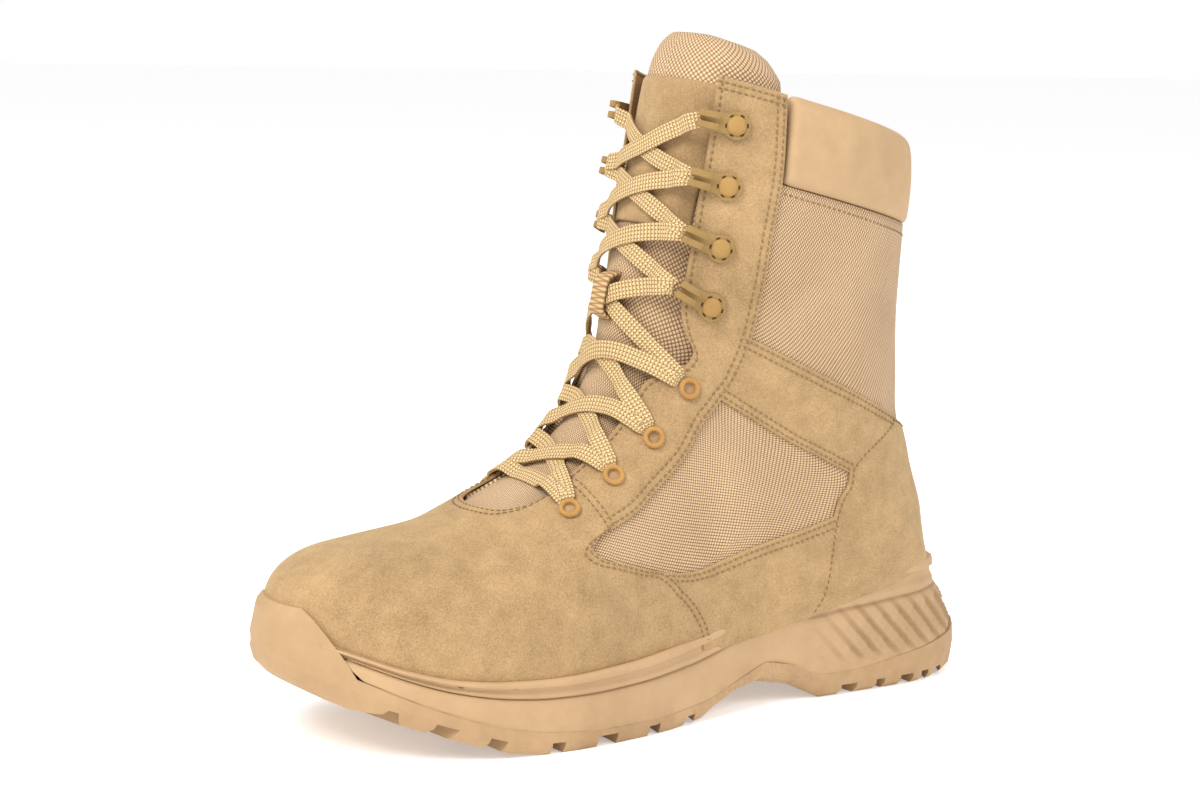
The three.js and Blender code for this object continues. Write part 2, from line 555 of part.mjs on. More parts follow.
// COLLAR
// A padded roll with a round top. Its section is a row of points: the share of the way from the
// lower seam to the top, and the offset from the last.
const COLLAR_SECTION = [
  [0, -0.4], [0.12, 1], [0.5, 1.6], [0.87, 1], [1, -1.8],
  [1, -5.2], [0.9, -8], [0.4, -8.4], [0.1, -6.4], [0, -4],
];
function collar(fromEnd, toEnd, count) {
  return loft(range(count).map((u) => COLLAR_SECTION.map(([share, offset]) => {
    const ring = THREE.MathUtils.lerp(COLLAR_RING + 0.045, TOP_RING - 0.02, share);
    return onLast(ring, THREE.MathUtils.lerp(fromEnd(ring), toEnd(ring), u), offset);
  })));
}
const angleAt = (ring, x, side) => atSide(x, ringHeight(ring, x), side)[1];
const COLLAR_SPLIT = 7; // from the zip's middle to either end of the collar
const COLLAR_END = 2.2; // short of the facing
const besideFacing = (side) => (ring) => angleAt(ring, FACING_BACK - COLLAR_END, side);
const besideZip = (ahead) => (ring) => angleAt(ring, zipX(ringHeight(ring, zipX(215))) + ahead, SIDES.medial);
piece('collar_main', collar(besideFacing(SIDES.lateral), (ring) => besideZip(-COLLAR_SPLIT)(ring) - 2 * Math.PI, 22), 'collar');
piece('collar_front', collar(besideZip(COLLAR_SPLIT), besideFacing(SIDES.medial), 6), 'collar');

// ZIP: tape and chain in one strip, set a little below the shell's surface
piece('zip', patch(zipRows(ZIP.tape, ZIP.foot + GAP, 231, 18), ZIP.inside, ZIP.outside), 'zip');

// The slider stays at the top. Its two ears carry the pin that the pull tab hangs on.
const SLIDER = { z: 225.5, width: 8, length: 11, low: -0.2, high: 2.2, ear: 1.4, earHigh: 6, pin: 0.8, pinOut: 4.8, pinUp: 1.5 };
const PULL = { width: 3.6, length: 18, thick: 1.4, eye: 1.9, bore: 1.2, tab: 6 };
const [sliderRing, sliderAngle] = atSide(zipX(SLIDER.z), SLIDER.z, SIDES.medial);
const sliderOut = outward(sliderRing, sliderAngle);
const sliderUp = new THREE.Vector3(zipX(SLIDER.z + 1) - zipX(SLIDER.z), 0, 1).addScaledVector(sliderOut, 0);
sliderUp.addScaledVector(sliderOut, -sliderUp.dot(sliderOut)).normalize();
const sliderAcross = new THREE.Vector3().crossVectors(sliderUp, sliderOut);
const sliderFrame = new THREE.Matrix4().makeBasis(sliderAcross, sliderUp, sliderOut)
  .setPosition(onLast(sliderRing, sliderAngle, 0));
const inSlider = (x, y, z) => sliderFrame.clone().multiply(new THREE.Matrix4().makeTranslation(x, y, z));
const rod = (radius, length, x, y, z) => solid(
  new THREE.CylinderGeometry(radius, radius, length, 10).rotateZ(Math.PI / 2).applyMatrix4(inSlider(x, y, z)),
);
const sliderBody = box(SLIDER.width, SLIDER.length, SLIDER.high - SLIDER.low, inSlider(0, 0, (SLIDER.low + SLIDER.high) / 2));
const earX = PULL.width / 2 + GAP + SLIDER.ear / 2;
const ears = [-earX, earX].map((x) => box(
  SLIDER.ear, 4, SLIDER.earHigh - SLIDER.high + 0.4, inSlider(x, SLIDER.pinUp, (SLIDER.earHigh + SLIDER.high) / 2 - 0.2),
));
const pin = rod(SLIDER.pin, 2 * earX + SLIDER.ear, 0, SLIDER.pinUp, SLIDER.pinOut);
piece('zip_slider', ears.reduce((body, ear) => body.add(ear), sliderBody.add(pin)), 'metal');
const pullEye = rod(PULL.eye + 0.2, PULL.width, 0, SLIDER.pinUp, SLIDER.pinOut)
  .add(box(PULL.width, 6, PULL.thick, inSlider(0, SLIDER.pinUp - 3.5, SLIDER.pinOut)))
  .add(box(PULL.tab, PULL.length - 6, PULL.thick, inSlider(0, SLIDER.pinUp - 6 - (PULL.length - 6) / 2, SLIDER.pinOut)));
piece('zip_pull', pullEye.subtract(rod(PULL.bore, PULL.width + 2, 0, SLIDER.pinUp, SLIDER.pinOut)), 'metal');

// STRAP: a suede tab that roots at the inner facing, crosses the zip and ends free beyond it
const STRAP = [
  { angle: 4.41, offset: 2.2 },
  { angle: 4.6, offset: 4.6 },
  { angle: 4.8, offset: 7.6 },
  { angle: 5.1, offset: 7.6 },
  { angle: 5.35, offset: 5.2 },
  { angle: 5.6, offset: 4.6 },
  { angle: 5.88, offset: 7.5 },
];
const STRAP_END = { low: 5.53, high: 5.88 }; // the free end is cut on the slant
const strapOffset = column(STRAP, 'angle', 'offset');
const STRAP_SIZE = { low: 16.98, high: 17.77, thick: 2 };
const strap = loft(range(14).map((u) => {
  const across = range(3).map((v) => {
    const end = THREE.MathUtils.lerp(STRAP_END.low, STRAP_END.high, v);
    return [THREE.MathUtils.lerp(STRAP_SIZE.low, STRAP_SIZE.high, v), THREE.MathUtils.lerp(STRAP[0].angle, end, u)];
  });
  return [
    ...across.map(([ring, angle]) => onLast(ring, angle, strapOffset(angle) + STRAP_SIZE.thick)),
    ...across.toReversed().map(([ring, angle]) => onLast(ring, angle, strapOffset(angle))),
  ];
}), 'ladder');
piece('zip_strap', strap, 'suede');

// EYELETS
const eyeletShape = new THREE.LatheGeometry([
  [EYELET.hole, -EYELET.depth], [EYELET.barrel, -EYELET.depth], [EYELET.barrel, EYELET.lift],
  [EYELET.flange, EYELET.lift], [EYELET.hole, EYELET.lift + EYELET.rise], [EYELET.hole, -EYELET.depth],
].map(([r, h]) => new THREE.Vector2(r, h)), 10).rotateX(Math.PI / 2);
for (const sideName of Object.keys(SIDES)) {
  EYELETS.forEach((at, i) => {
    piece(`eyelet_${sideName}_${i + 1}`, solid(eyeletShape.clone().applyMatrix4(placed(at, sideName))), 'hook');
  });
}

// HOOKS: a riveted plate that narrows to a neck and ends in a tunnel for the lace
const HOOK = { plate: 6.3, neck: 3.6, thick: 1.4, lift: 0.7, rivet: 4.4, rivetHigh: 1.3, reach: 16.5, tunnelFrom: 8, tunnelHigh: 5.6, wall: 1.2 };
function hookSolid(matrix) {
  const outlineShape = new THREE.Shape();
  outlineShape.absarc(0, 0, HOOK.plate, 0.9, 2 * Math.PI - 0.9, false);
  outlineShape.lineTo(HOOK.tunnelFrom + 1, -HOOK.neck);
  outlineShape.lineTo(HOOK.tunnelFrom + 1, HOOK.neck);
  const plate = new THREE.ExtrudeGeometry(outlineShape, { depth: HOOK.thick, bevelEnabled: false, curveSegments: 7 });
  const rivet = new THREE.CylinderGeometry(HOOK.rivet - 0.6, HOOK.rivet, HOOK.rivetHigh + 0.4, 8).rotateX(Math.PI / 2);
  rivet.translate(0, 0, HOOK.thick + HOOK.rivetHigh / 2 - 0.2);
  const [left, right, top] = [HOOK.tunnelFrom, HOOK.reach, HOOK.tunnelHigh];
  const ringPath = (inset) => [
    [left + inset, inset], [right - 1.2 - inset / 2, inset], [right - inset, top / 2],
    [right - 1.2 - inset / 2, top - inset], [left + inset, top - inset - 1.2],
  ].map(([x, z]) => new THREE.Vector2(x, z));
  const tunnelShape = new THREE.Shape(ringPath(0));
  tunnelShape.holes.push(new THREE.Path(ringPath(HOOK.wall)));
  const tunnel = new THREE.ExtrudeGeometry(tunnelShape, { depth: 2 * HOOK.neck, bevelEnabled: false });
  tunnel.rotateX(Math.PI / 2).translate(0, HOOK.neck, 0);
  return [plate, rivet, tunnel].map((geometry) => solid(geometry.applyMatrix4(matrix))).reduce((body, part) => body.add(part));
}
for (const sideName of Object.keys(SIDES)) {
  HOOKS.forEach((at, i) => piece(`hook_${sideName}_${i + 1}`, hookSolid(placed(at, sideName, HOOK.lift)), 'hook'));
}

// LACE: a bar across the lowest eyelets and a crossing between each pair of lacing points above
const LACE = { width: 7, thick: 1.8, steps: 6, toEyelet: 5.6, toHook: 12.5, onFacing: 2.7, onTongue: -1.4, over: 1.4 };
const stopShort = (short) => ({ ring, lateral, medial }) => ({ ring, lateral: lateral - short, medial: medial + short });
const lacePoints = [...EYELETS.map(stopShort(LACE.toEyelet)), ...HOOKS.map(stopShort(LACE.toHook))];
function ribbon(from, to, over) {
  const path = range(LACE.steps).map((u) => {
    const ring = THREE.MathUtils.lerp(from.ring, to.ring, u);
    const angle = frontAngle(ring, THREE.MathUtils.lerp(from.y, to.y, u));
    return { ring, at: onLast(ring, angle, 0), out: outward(ring, angle) };
  });
  return loft(path.map(({ ring, at, out }, i) => {
    const along = path[Math.min(i + 1, LACE.steps)].at.clone().sub(path[Math.max(i - 1, 0)].at).normalize();
    const wide = new THREE.Vector3().crossVectors(along, out).normalize();
    const corner = (w, t) => {
      const point = at.clone().addScaledVector(wide, (w * LACE.width) / 2);
      const fromEdge = Math.min(throat.outer(ring) - point.y, point.y - throat.inner(ring));
      const inside = THREE.MathUtils.smoothstep(fromEdge, 2, 10);
      const level = THREE.MathUtils.lerp(LACE.onFacing, LACE.onTongue + over, inside);
      return point.addScaledVector(out, level + (t * LACE.thick) / 2);
    };
    return [corner(1, 1), corner(-1, 1), corner(-1, -1), corner(1, -1)];
  }));
}
const laceEnd = (i, sideName) => ({ ring: lacePoints[i].ring, y: lacePoints[i][sideName] });
const runs = [ribbon(laceEnd(0, 'lateral'), laceEnd(0, 'medial'), 0)];
for (let i = 0; i + 1 < lacePoints.length; i++) {
  runs.push(ribbon(laceEnd(i, 'lateral'), laceEnd(i + 1, 'medial'), 0));
  runs.push(ribbon(laceEnd(i, 'medial'), laceEnd(i + 1, 'lateral'), LACE.over));
}
piece('lace', runs.reduce((body, run) => body.add(run)), 'lace');

// LACE KEEPER: a webbing loop on the tongue, over the crossing between the top eyelets and first hooks
const KEEPER = { low: 11.4, high: 13.7, half: 4, thick: 1.4, foot: -3.6, top: 2.6, steps: 8 };
const keeper = loft(range(KEEPER.steps).map((u) => {
  const ring = THREE.MathUtils.lerp(KEEPER.low, KEEPER.high, u);
  const rise = 1 - Math.abs(2 * u - 1) ** 6;
  const lie = (side, lift) => onLast(ring, frontAngle(ring, side * KEEPER.half), THREE.MathUtils.lerp(KEEPER.foot, KEEPER.top, rise) + lift);
  return [lie(1, KEEPER.thick), lie(-1, KEEPER.thick), lie(-1, 0), lie(1, 0)];
}));
piece('lace_keeper', keeper, 'lace');

export default boot;
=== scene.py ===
import math

import bmesh
import bpy
import numpy as np
from mathutils import Matrix, Vector


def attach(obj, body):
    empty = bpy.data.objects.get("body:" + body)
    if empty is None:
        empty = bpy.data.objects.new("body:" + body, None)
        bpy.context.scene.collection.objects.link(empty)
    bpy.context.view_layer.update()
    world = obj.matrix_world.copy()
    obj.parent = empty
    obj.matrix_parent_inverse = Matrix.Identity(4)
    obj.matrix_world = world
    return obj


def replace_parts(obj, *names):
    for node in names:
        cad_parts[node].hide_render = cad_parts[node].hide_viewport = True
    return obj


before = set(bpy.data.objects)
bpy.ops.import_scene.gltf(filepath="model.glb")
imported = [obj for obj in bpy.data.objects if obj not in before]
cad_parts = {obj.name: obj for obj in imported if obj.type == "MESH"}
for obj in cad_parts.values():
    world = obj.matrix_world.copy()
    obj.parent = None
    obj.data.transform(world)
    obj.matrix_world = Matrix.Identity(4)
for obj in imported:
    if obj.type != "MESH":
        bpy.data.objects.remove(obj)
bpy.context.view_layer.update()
scene = bpy.context.scene
MM = 0.001

# CAMERA, LIGHT AND FLOOR
# A long lens stands off the outer front corner of the boot, a little above the collar, over a
# pale floor, with one large soft light from the left, a weaker one from the right and a bright
# surround.
CAMERA = {"place": (636, 828, 273), "yaw": -121.7, "pitch": -8.9, "roll": 1.71, "lens": 76}
camera = bpy.data.objects.new("camera", bpy.data.cameras.new("camera"))
scene.collection.objects.link(camera)
scene.camera = camera
camera.data.lens = CAMERA["lens"]
camera.data.sensor_width = 36
camera.data.clip_start, camera.data.clip_end = 0.05, 20
yaw, pitch, roll = (math.radians(CAMERA[key]) for key in ("yaw", "pitch", "roll"))
ahead = Vector((math.cos(pitch) * math.cos(yaw), math.cos(pitch) * math.sin(yaw), math.sin(pitch)))
across = ahead.cross(Vector((0, 0, 1))).normalized()
upward = across.cross(ahead)
right = math.cos(roll) * across + math.sin(roll) * upward
upward = math.cos(roll) * upward - math.sin(roll) * across
camera.matrix_world = Matrix.Translation(Vector(CAMERA["place"]) * MM) @ Matrix(
    (right, upward, -ahead)).transposed().to_4x4()

SURROUND = (0.66, 1.0)  # its strength as light, and as the white behind the boot
LIGHTS = [
    {"name": "key", "place": (1.25, 0.4, 1.5), "size": 1.0, "power": 34, "tint": (1.0, 0.98, 0.95)},
    {"name": "fill", "place": (-0.7, 1.3, 1.3), "size": 0.8, "power": 13, "tint": (0.97, 0.98, 1.0)},
    {"name": "back", "place": (-0.4, -1.2, 1.1), "size": 1.2, "power": 4, "tint": (1.0, 1.0, 1.0)},
]
BOOT_MIDDLE = (0.1, 0, 0.1)
for light in LIGHTS:
    lamp = bpy.data.objects.new(light["name"], bpy.data.lights.new(light["name"], "AREA"))
    lamp.data.size = light["size"]
    lamp.data.energy = light["power"]
    lamp.data.color = light["tint"]
    lamp.location = light["place"]
    aim = Vector(BOOT_MIDDLE) - lamp.location
    lamp.rotation_mode = "QUATERNION"
    lamp.rotation_quaternion = aim.to_track_quat("-Z", "Y")
    scene.collection.objects.link(lamp)
scene.world = bpy.data.worlds.new("studio")
scene.world.use_nodes = True
scene.world.node_tree.nodes["Background"].inputs["Color"].default_value = (1, 1, 1, 1)
surround = scene.world.node_tree.nodes["Background"].inputs["Strength"]
seen = scene.world.node_tree.nodes.new("ShaderNodeLightPath")
bright = scene.world.node_tree.nodes.new("ShaderNodeMapRange")
bright.inputs["To Min"].default_value, bright.inputs["To Max"].default_value = SURROUND
scene.world.node_tree.links.new(seen.outputs["Is Camera Ray"], bright.inputs["Value"])
scene.world.node_tree.links.new(bright.outputs["Result"], surround)
scene.view_settings.view_transform = "Standard"

FLOOR_TONE, FLOOR_GLOW = 0.97, 0.33
floor_mesh = bmesh.new()
bmesh.ops.create_grid(floor_mesh, x_segments=1, y_segments=1, size=8)
floor_data = bpy.data.meshes.new("floor")
floor_mesh.to_mesh(floor_data)
floor = bpy.data.objects.new("floor", floor_data)
scene.collection.objects.link(floor)
floor_finish = bpy.data.materials.new("pale_floor")
floor_finish.use_nodes = True
floor_shader = floor_finish.node_tree.nodes["Principled BSDF"]
floor_shader.inputs["Base Color"].default_value = (*[FLOOR_TONE] * 3, 1)
floor_shader.inputs["Roughness"].default_value = 0.6
floor_shader.inputs["Emission Color"].default_value = (1, 1, 1, 1)
floor_shader.inputs["Emission Strength"].default_value = FLOOR_GLOW
floor_data.materials.append(floor_finish)

# UPPER BASE
# Woven nylon over foam and lining, lasted into the shape of a foot and a shaft. It shows between
# the suede panels, as the windows of the quarters and the shaft, and inside the collar.
# The last that everything is laid on: each row is one ring, a straight line seen from the side
# from its back end to its front end, with its reach to each side, in millimetres.
LAST_COLUMNS = "ring x_back z_back x_front z_front mid outer inner wide round_back round_front"
LAST = [
    (0, 260.8, 42, 260.8, 50, -3, -2, -4, 0.4, 2.2, 2.2),
    (1, 258, 34, 258, 59, -3, 11, -16, 0.4, 2.6, 2.2),
    (2, 250, 29, 250, 65, -3, 25, -30, 0.4, 3, 2.3),
    (3, 238, 24, 238, 69.5, -3, 37, -40, 0.4, 3, 2.3),
    (4, 220, 17, 220, 72.5, -3, 47, -46, 0.4, 3.5, 2.2),
    (5, 196, 13, 196, 77, -2, 53, -47, 0.38, 3.5, 2.1),
    (6, 170, 12, 172, 87, -1, 54, -44, 0.34, 4, 2.3),
    (7, 142, 13, 152, 98.5, 0, 51.5, -40, 0.34, 4.5, 2.3),
    (8, 112, 15, 140, 112, 0, 47, -38, 0.36, 4.5, 2.2),
    (9, 75, 21, 131, 127, 0, 43, -39, 0.4, 4.8, 2.1),
    (10, 30, 31, 128, 141, 0, 41.5, -40, 0.44, 4.8, 2.1),
    (11, -8, 38, 127, 150, 0, 40.5, -40, 0.46, 4, 2.1),
    (12, -27.5, 46, 125.5, 157, 0, 40, -40, 0.48, 2.8, 2.2),
    (13, -27, 64, 124, 165, 0, 40, -40, 0.48, 2.2, 2.2),
    (14, -20.5, 88, 121.5, 175, 0, 40, -40, 0.48, 2, 2.3),
    (15, -13.5, 118, 118, 188, 0, 41, -41, 0.49, 2, 2.3),
    (16, -11.5, 153, 114, 203, 0, 42, -42, 0.5, 2, 2.4),
    (17, -12.5, 188, 110, 217, 0, 42, -42, 0.5, 2, 2.5),
    (18, -12, 222, 105.5, 250, 0, 41.5, -41.5, 0.5, 2, 2.5),
    (19, -11, 250, 103, 280, 0, 41, -41, 0.5, 2, 2.5),
]


def monotone(xs, ys):
    """A curve through the rows of a table that never overshoots between them."""
    xs, ys = np.asarray(xs, float), np.asarray(ys, float)
    slope = np.diff(ys) / np.diff(xs)
    tangent = np.concatenate([[slope[0]], np.zeros(len(xs) - 2), [slope[-1]]])
    for i in range(1, len(xs) - 1):
        before, after = slope[i - 1], slope[i]
        if before * after > 0:
            left, right = xs[i] - xs[i - 1], xs[i + 1] - xs[i]
            tangent[i] = 3 * (left + right) / (
                (2 * right + left) / before + (right + 2 * left) / after)

    def at(x):
        x = np.clip(x, xs[0], xs[-1])
        i = np.clip(np.searchsorted(xs, x, side="right") - 1, 0, len(xs) - 2)
        span = xs[i + 1] - xs[i]
        u = (x - xs[i]) / span
        rise = (1 + 2 * u) * (1 - u) ** 2 * ys[i] + u * u * (3 - 2 * u) * ys[i + 1]
        return rise + u * (1 - u) * span * ((1 - u) * tangent[i] - u * tangent[i + 1])

    return at


last = {name: monotone([row[0] for row in LAST], [row[i] for row in LAST])
        for i, name in enumerate(LAST_COLUMNS.split()) if i}


def bare(ring, angle):
    """Points of the last in millimetres. angle is 0 at the back or the sole and pi at the front."""
    ring, angle = np.broadcast_arrays(np.asarray(ring, float), np.asarray(angle, float))
    back = np.cos(angle) > 0
    power = np.where(back, last["round_back"](ring), last["round_front"](ring))
    cos, sin = np.abs(np.cos(angle)), np.abs(np.sin(angle))
    reach = (cos ** power + sin ** power) ** (-1 / power)
    wide = last["wide"](ring)
    along = np.where(back, wide * (1 - reach * cos), wide + (1 - wide) * reach * cos)
    side = np.where(np.sin(angle) >= 0, last["outer"](ring), last["inner"](ring))
    middle = last["mid"](ring)
    low = np.stack([last["x_back"](ring), middle, last["z_back"](ring)], -1)
    high = np.stack([last["x_front"](ring), middle, last["z_front"](ring)], -1)
    point = low + (high - low) * along[..., None]
    point[..., 1] = middle + (side - middle) * reach * sin
    return point


STEP = 0.02


def outward(ring, angle):
    low = np.maximum(ring - STEP, 0.1)
    along = bare(low + 2 * STEP, angle) - bare(low, angle)
    around = bare(ring, angle + STEP) - bare(ring, angle - STEP)
    normal = np.cross(along, around)
    return normal / np.maximum(np.linalg.norm(normal, axis=-1, keepdims=True), 1e-9)


# Soft troughs where the boot flexes: on a ring and an angle, so long and so wide in millimetres,
# turned from the run of the ring, and so deep. The same ones show on both sides.
CREASES = [
    {"ring": 6.1, "angle": 2.05, "long": 26, "wide": 5.5, "turn": 25, "deep": 0.9},
    {"ring": 7.3, "angle": 1.62, "long": 24, "wide": 6, "turn": 35, "deep": 0.8},
    {"ring": 5.2, "angle": 2.3, "long": 22, "wide": 7, "turn": 12, "deep": 0.6},
    {"ring": 9.3, "angle": 1.75, "long": 34, "wide": 8, "turn": -35, "deep": 0.9},
    {"ring": 11.2, "angle": 1.9, "long": 30, "wide": 8, "turn": -20, "deep": 0.8},
    {"ring": 14.7, "angle": 0.2, "long": 26, "wide": 9, "turn": 0, "deep": 1.0},
    {"ring": 15.6, "angle": 1.2, "long": 40, "wide": 12, "turn": 12, "deep": 0.7},
    {"ring": 16.4, "angle": 1.7, "long": 26, "wide": 7, "turn": -14, "deep": 0.5},
]


def relief(points):
    depth = np.zeros(points.shape[:-1])
    for crease in CREASES:
        for side in (1, -1):
            ring, angle = crease["ring"], side * crease["angle"]
            middle = bare(ring, angle)
            along = bare(ring, angle + STEP) - bare(ring, angle - STEP)
            along /= np.linalg.norm(along)
            wide = np.cross(outward(ring, angle), along)
            turn = math.radians(side * crease["turn"])
            run = math.cos(turn) * along + math.sin(turn) * wide
            offset = points - middle
            on = offset @ run
            off = np.sqrt(np.maximum((offset ** 2).sum(-1) - on ** 2, 0))
            depth += crease["deep"] * np.exp(-(on / crease["long"]) ** 2 - (off / crease["wide"]) ** 2)
    return depth


def on_last(ring, angle, offset=0.0):
    """Points so far outside the last, in metres."""
    point = bare(ring, angle)
    lift = np.asarray(offset, float) - relief(point)
    return (point + outward(ring, angle) * lift[..., None]) * MM


def make_piece(name, mesh, *finishes, smooth=True):
    data = bpy.data.meshes.new(name)
    mesh.to_mesh(data)
    mesh.free()
    for finish in finishes:
        data.materials.append(finish)
    data.polygons.foreach_set("use_smooth", [smooth] * len(data.polygons))
    piece = bpy.data.objects.new(name, data)
    scene.collection.objects.link(piece)
    return piece


def bunched(count, length, roll=1.3):
    """Shares from 0 to 1 along a cloth edge to edge, close together where each edge rolls over."""
    edge = np.array([0, 0.12, 0.35, 0.65, 1.0]) * min(roll / max(length, 1e-6), 0.2)
    middle = np.linspace(edge[-1], 1 - edge[-1], count)
    return np.concatenate([edge[:-1], middle, 1 - edge[:-1][::-1]])


def sheet_mesh(us, vs, place, closed_u=False):
    """A grid whose corner shares us and vs are sent to place(u, v), with its sizes as a UV map."""
    mesh = bmesh.new()
    layer = mesh.loops.layers.uv.new("cloth")
    bmesh.ops.create_grid(mesh, x_segments=len(us) - 1, y_segments=len(vs) - 1, size=1)
    mesh.verts.ensure_lookup_table()
    flat = np.array([vert.co[:2] for vert in mesh.verts])
    column = np.rint((flat[:, 0] + 1) / 2 * (len(us) - 1)).astype(int)
    row = np.rint((flat[:, 1] + 1) / 2 * (len(vs) - 1)).astype(int)
    grid = place(*np.meshgrid(us, vs, indexing="ij"))
    for vert, point in zip(mesh.verts, grid[column, row]):
        vert.co = point
    run_u = np.cumsum(np.linalg.norm(np.diff(grid, axis=0, prepend=grid[:1]), axis=2), axis=0)
    run_v = np.cumsum(np.linalg.norm(np.diff(grid, axis=1, prepend=grid[:, :1]), axis=2), axis=1)
    run_u, run_v = run_u.mean(axis=1), run_v.mean(axis=0)
    for face in mesh.faces:
        for loop in face.loops:
            i = loop.vert.index
            loop[layer].uv = (run_u[column[i]], run_v[row[i]])
    if closed_u:
        bmesh.ops.remove_doubles(mesh, verts=mesh.verts, dist=1e-6)
    return mesh


def face_out(mesh, outside):
    """Turns a sheet so that its first side faces the way that outside says at its middle."""
    mesh.faces.ensure_lookup_table()
    mesh.normal_update()
    total = sum(face.normal.dot(outside(face.calc_center_median())) for face in mesh.faces)
    if total < 0:
        bmesh.ops.reverse_faces(mesh, faces=mesh.faces)


# Each finish below is made from one of a few effects, which cloths, leathers and metals share.
def add(tree, kind, inputs=None, **settings):
    """A node with its settings, and each input either a number or another node's output."""
    made = tree.nodes.new(kind)
    for key, value in settings.items():
        setattr(made, key, value)
    for key, value in (inputs or {}).items():
        if isinstance(value, bpy.types.NodeSocket):
            tree.links.new(value, made.inputs[key])
        else:
            made.inputs[key].default_value = value
    return made


def effect(name, inputs, outputs):
    tree = bpy.data.node_groups.new(name, "ShaderNodeTree")
    kinds = {"Color": "NodeSocketColor", "Vector": "NodeSocketVector"}
    for key, value in inputs.items():
        colour = isinstance(value, tuple)
        socket = tree.interface.new_socket(
            name=key, in_out="INPUT", socket_type="NodeSocketColor" if colour else "NodeSocketFloat")
        socket.default_value = value
    for key in outputs:
        tree.interface.new_socket(
            name=key, in_out="OUTPUT", socket_type=kinds.get(key, "NodeSocketFloat"))
    return tree, tree.nodes.new("NodeGroupInput"), tree.nodes.new("NodeGroupOutput")


def math_node(tree, operation, first, second=0.0, third=0.0):
    inputs = {0: first, 1: second}
    if operation in ("MULTIPLY_ADD", "COMPARE"):
        inputs[2] = third
    return add(tree, "ShaderNodeMath", inputs, operation=operation).outputs[0]


def mix_colour(tree, share, low, high):
    made = add(tree, "ShaderNodeMix", data_type="RGBA")
    for socket, value in zip((made.inputs[0], made.inputs[6], made.inputs[7]), (share, low, high)):
        if isinstance(value, bpy.types.NodeSocket):
            tree.links.new(value, socket)
        else:
            socket.default_value = value
    return made.outputs[2]


def noise(tree, vector, scale, detail=3.0, rough=0.55):
    return add(tree, "ShaderNodeTexNoise", {"Vector": vector, "Scale": scale, "Detail": detail,
                                            "Roughness": rough}).outputs[0]


def spread(tree, value, low, high):
    """value stretched so that low becomes 0 and high becomes 1."""
    return add(tree, "ShaderNodeMapRange", {0: value, 1: low, 2: high}, clamp=True).outputs[0]


# Nap: brushed leather, blotched light and dark where the nap lies each way, with a fine grain.
nap, nap_in, nap_out = effect(
    "nap", {"Pale": (0.6, 0.4, 0.2, 1), "Deep": (0.4, 0.3, 0.1, 1), "Blotch": 0.5, "Fine": 0.5},
    ("Color", "Roughness", "Height"))
place = add(nap, "ShaderNodeTexCoord").outputs["Object"]
broad = spread(nap, noise(nap, place, 22.0, 4.0, 0.6), 0.34, 0.66)
patches = spread(nap, noise(nap, place, 120.0, 4.0, 0.6), 0.3, 0.7)
grain = noise(nap, place, 1500.0, 2.0, 0.7)
tone = math_node(nap, "MULTIPLY_ADD", patches, 0.45, math_node(nap, "MULTIPLY", broad, 0.4))
tone = math_node(nap, "MULTIPLY", tone, nap_in.outputs["Blotch"])
fleck = math_node(nap, "MULTIPLY", spread(nap, grain, 0.3, 0.7), nap_in.outputs["Fine"])
tone = math_node(nap, "ADD", tone, fleck)
nap.links.new(mix_colour(nap, tone, nap_in.outputs["Pale"], nap_in.outputs["Deep"]),
              nap_out.inputs["Color"])
nap.links.new(math_node(nap, "MULTIPLY_ADD", patches, 0.08, 0.84), nap_out.inputs["Roughness"])
nap.links.new(math_node(nap, "MULTIPLY_ADD", patches, 0.5, grain), nap_out.inputs["Height"])

# Weave: crossed yarns on the bias, each crossing a small pillow, from the cloth's own sizes.
weave, weave_in, weave_out = effect(
    "weave", {"Yarn": (0.7, 0.5, 0.3, 1), "Gap": (0.4, 0.25, 0.15, 1), "Pitch": 0.0012, "Lean": 1.0},
    ("Color", "Roughness", "Height"))
place = add(weave, "ShaderNodeUVMap", uv_map="cloth").outputs[0]
spot = add(weave, "ShaderNodeTexCoord").outputs["Object"]
axes = add(weave, "ShaderNodeSeparateXYZ", {0: place}).outputs
turns = math_node(weave, "DIVIDE", math.pi, weave_in.outputs["Pitch"])
slant = math_node(weave, "MULTIPLY", axes[1], weave_in.outputs["Lean"])
first = math_node(weave, "MULTIPLY", math_node(weave, "ADD", axes[0], slant), turns)
second = math_node(weave, "MULTIPLY", math_node(weave, "SUBTRACT", axes[0], slant), turns)
pillow = math_node(weave, "MULTIPLY", math_node(weave, "ABSOLUTE", math_node(weave, "SINE", first)),
                   math_node(weave, "ABSOLUTE", math_node(weave, "SINE", second)))
pillow = math_node(weave, "POWER", pillow, 0.7)
fade = math_node(weave, "MULTIPLY_ADD", noise(weave, spot, 40.0, 3.0), 0.35, -0.17)
shade = math_node(weave, "ADD", spread(weave, pillow, 0.1, 0.85), fade)
weave.links.new(mix_colour(weave, shade, weave_in.outputs["Gap"], weave_in.outputs["Yarn"]),
                weave_out.inputs["Color"])
weave.links.new(math_node(weave, "MULTIPLY_ADD", pillow, -0.1, 0.85), weave_out.inputs["Roughness"])
weave.links.new(pillow, weave_out.inputs["Height"])


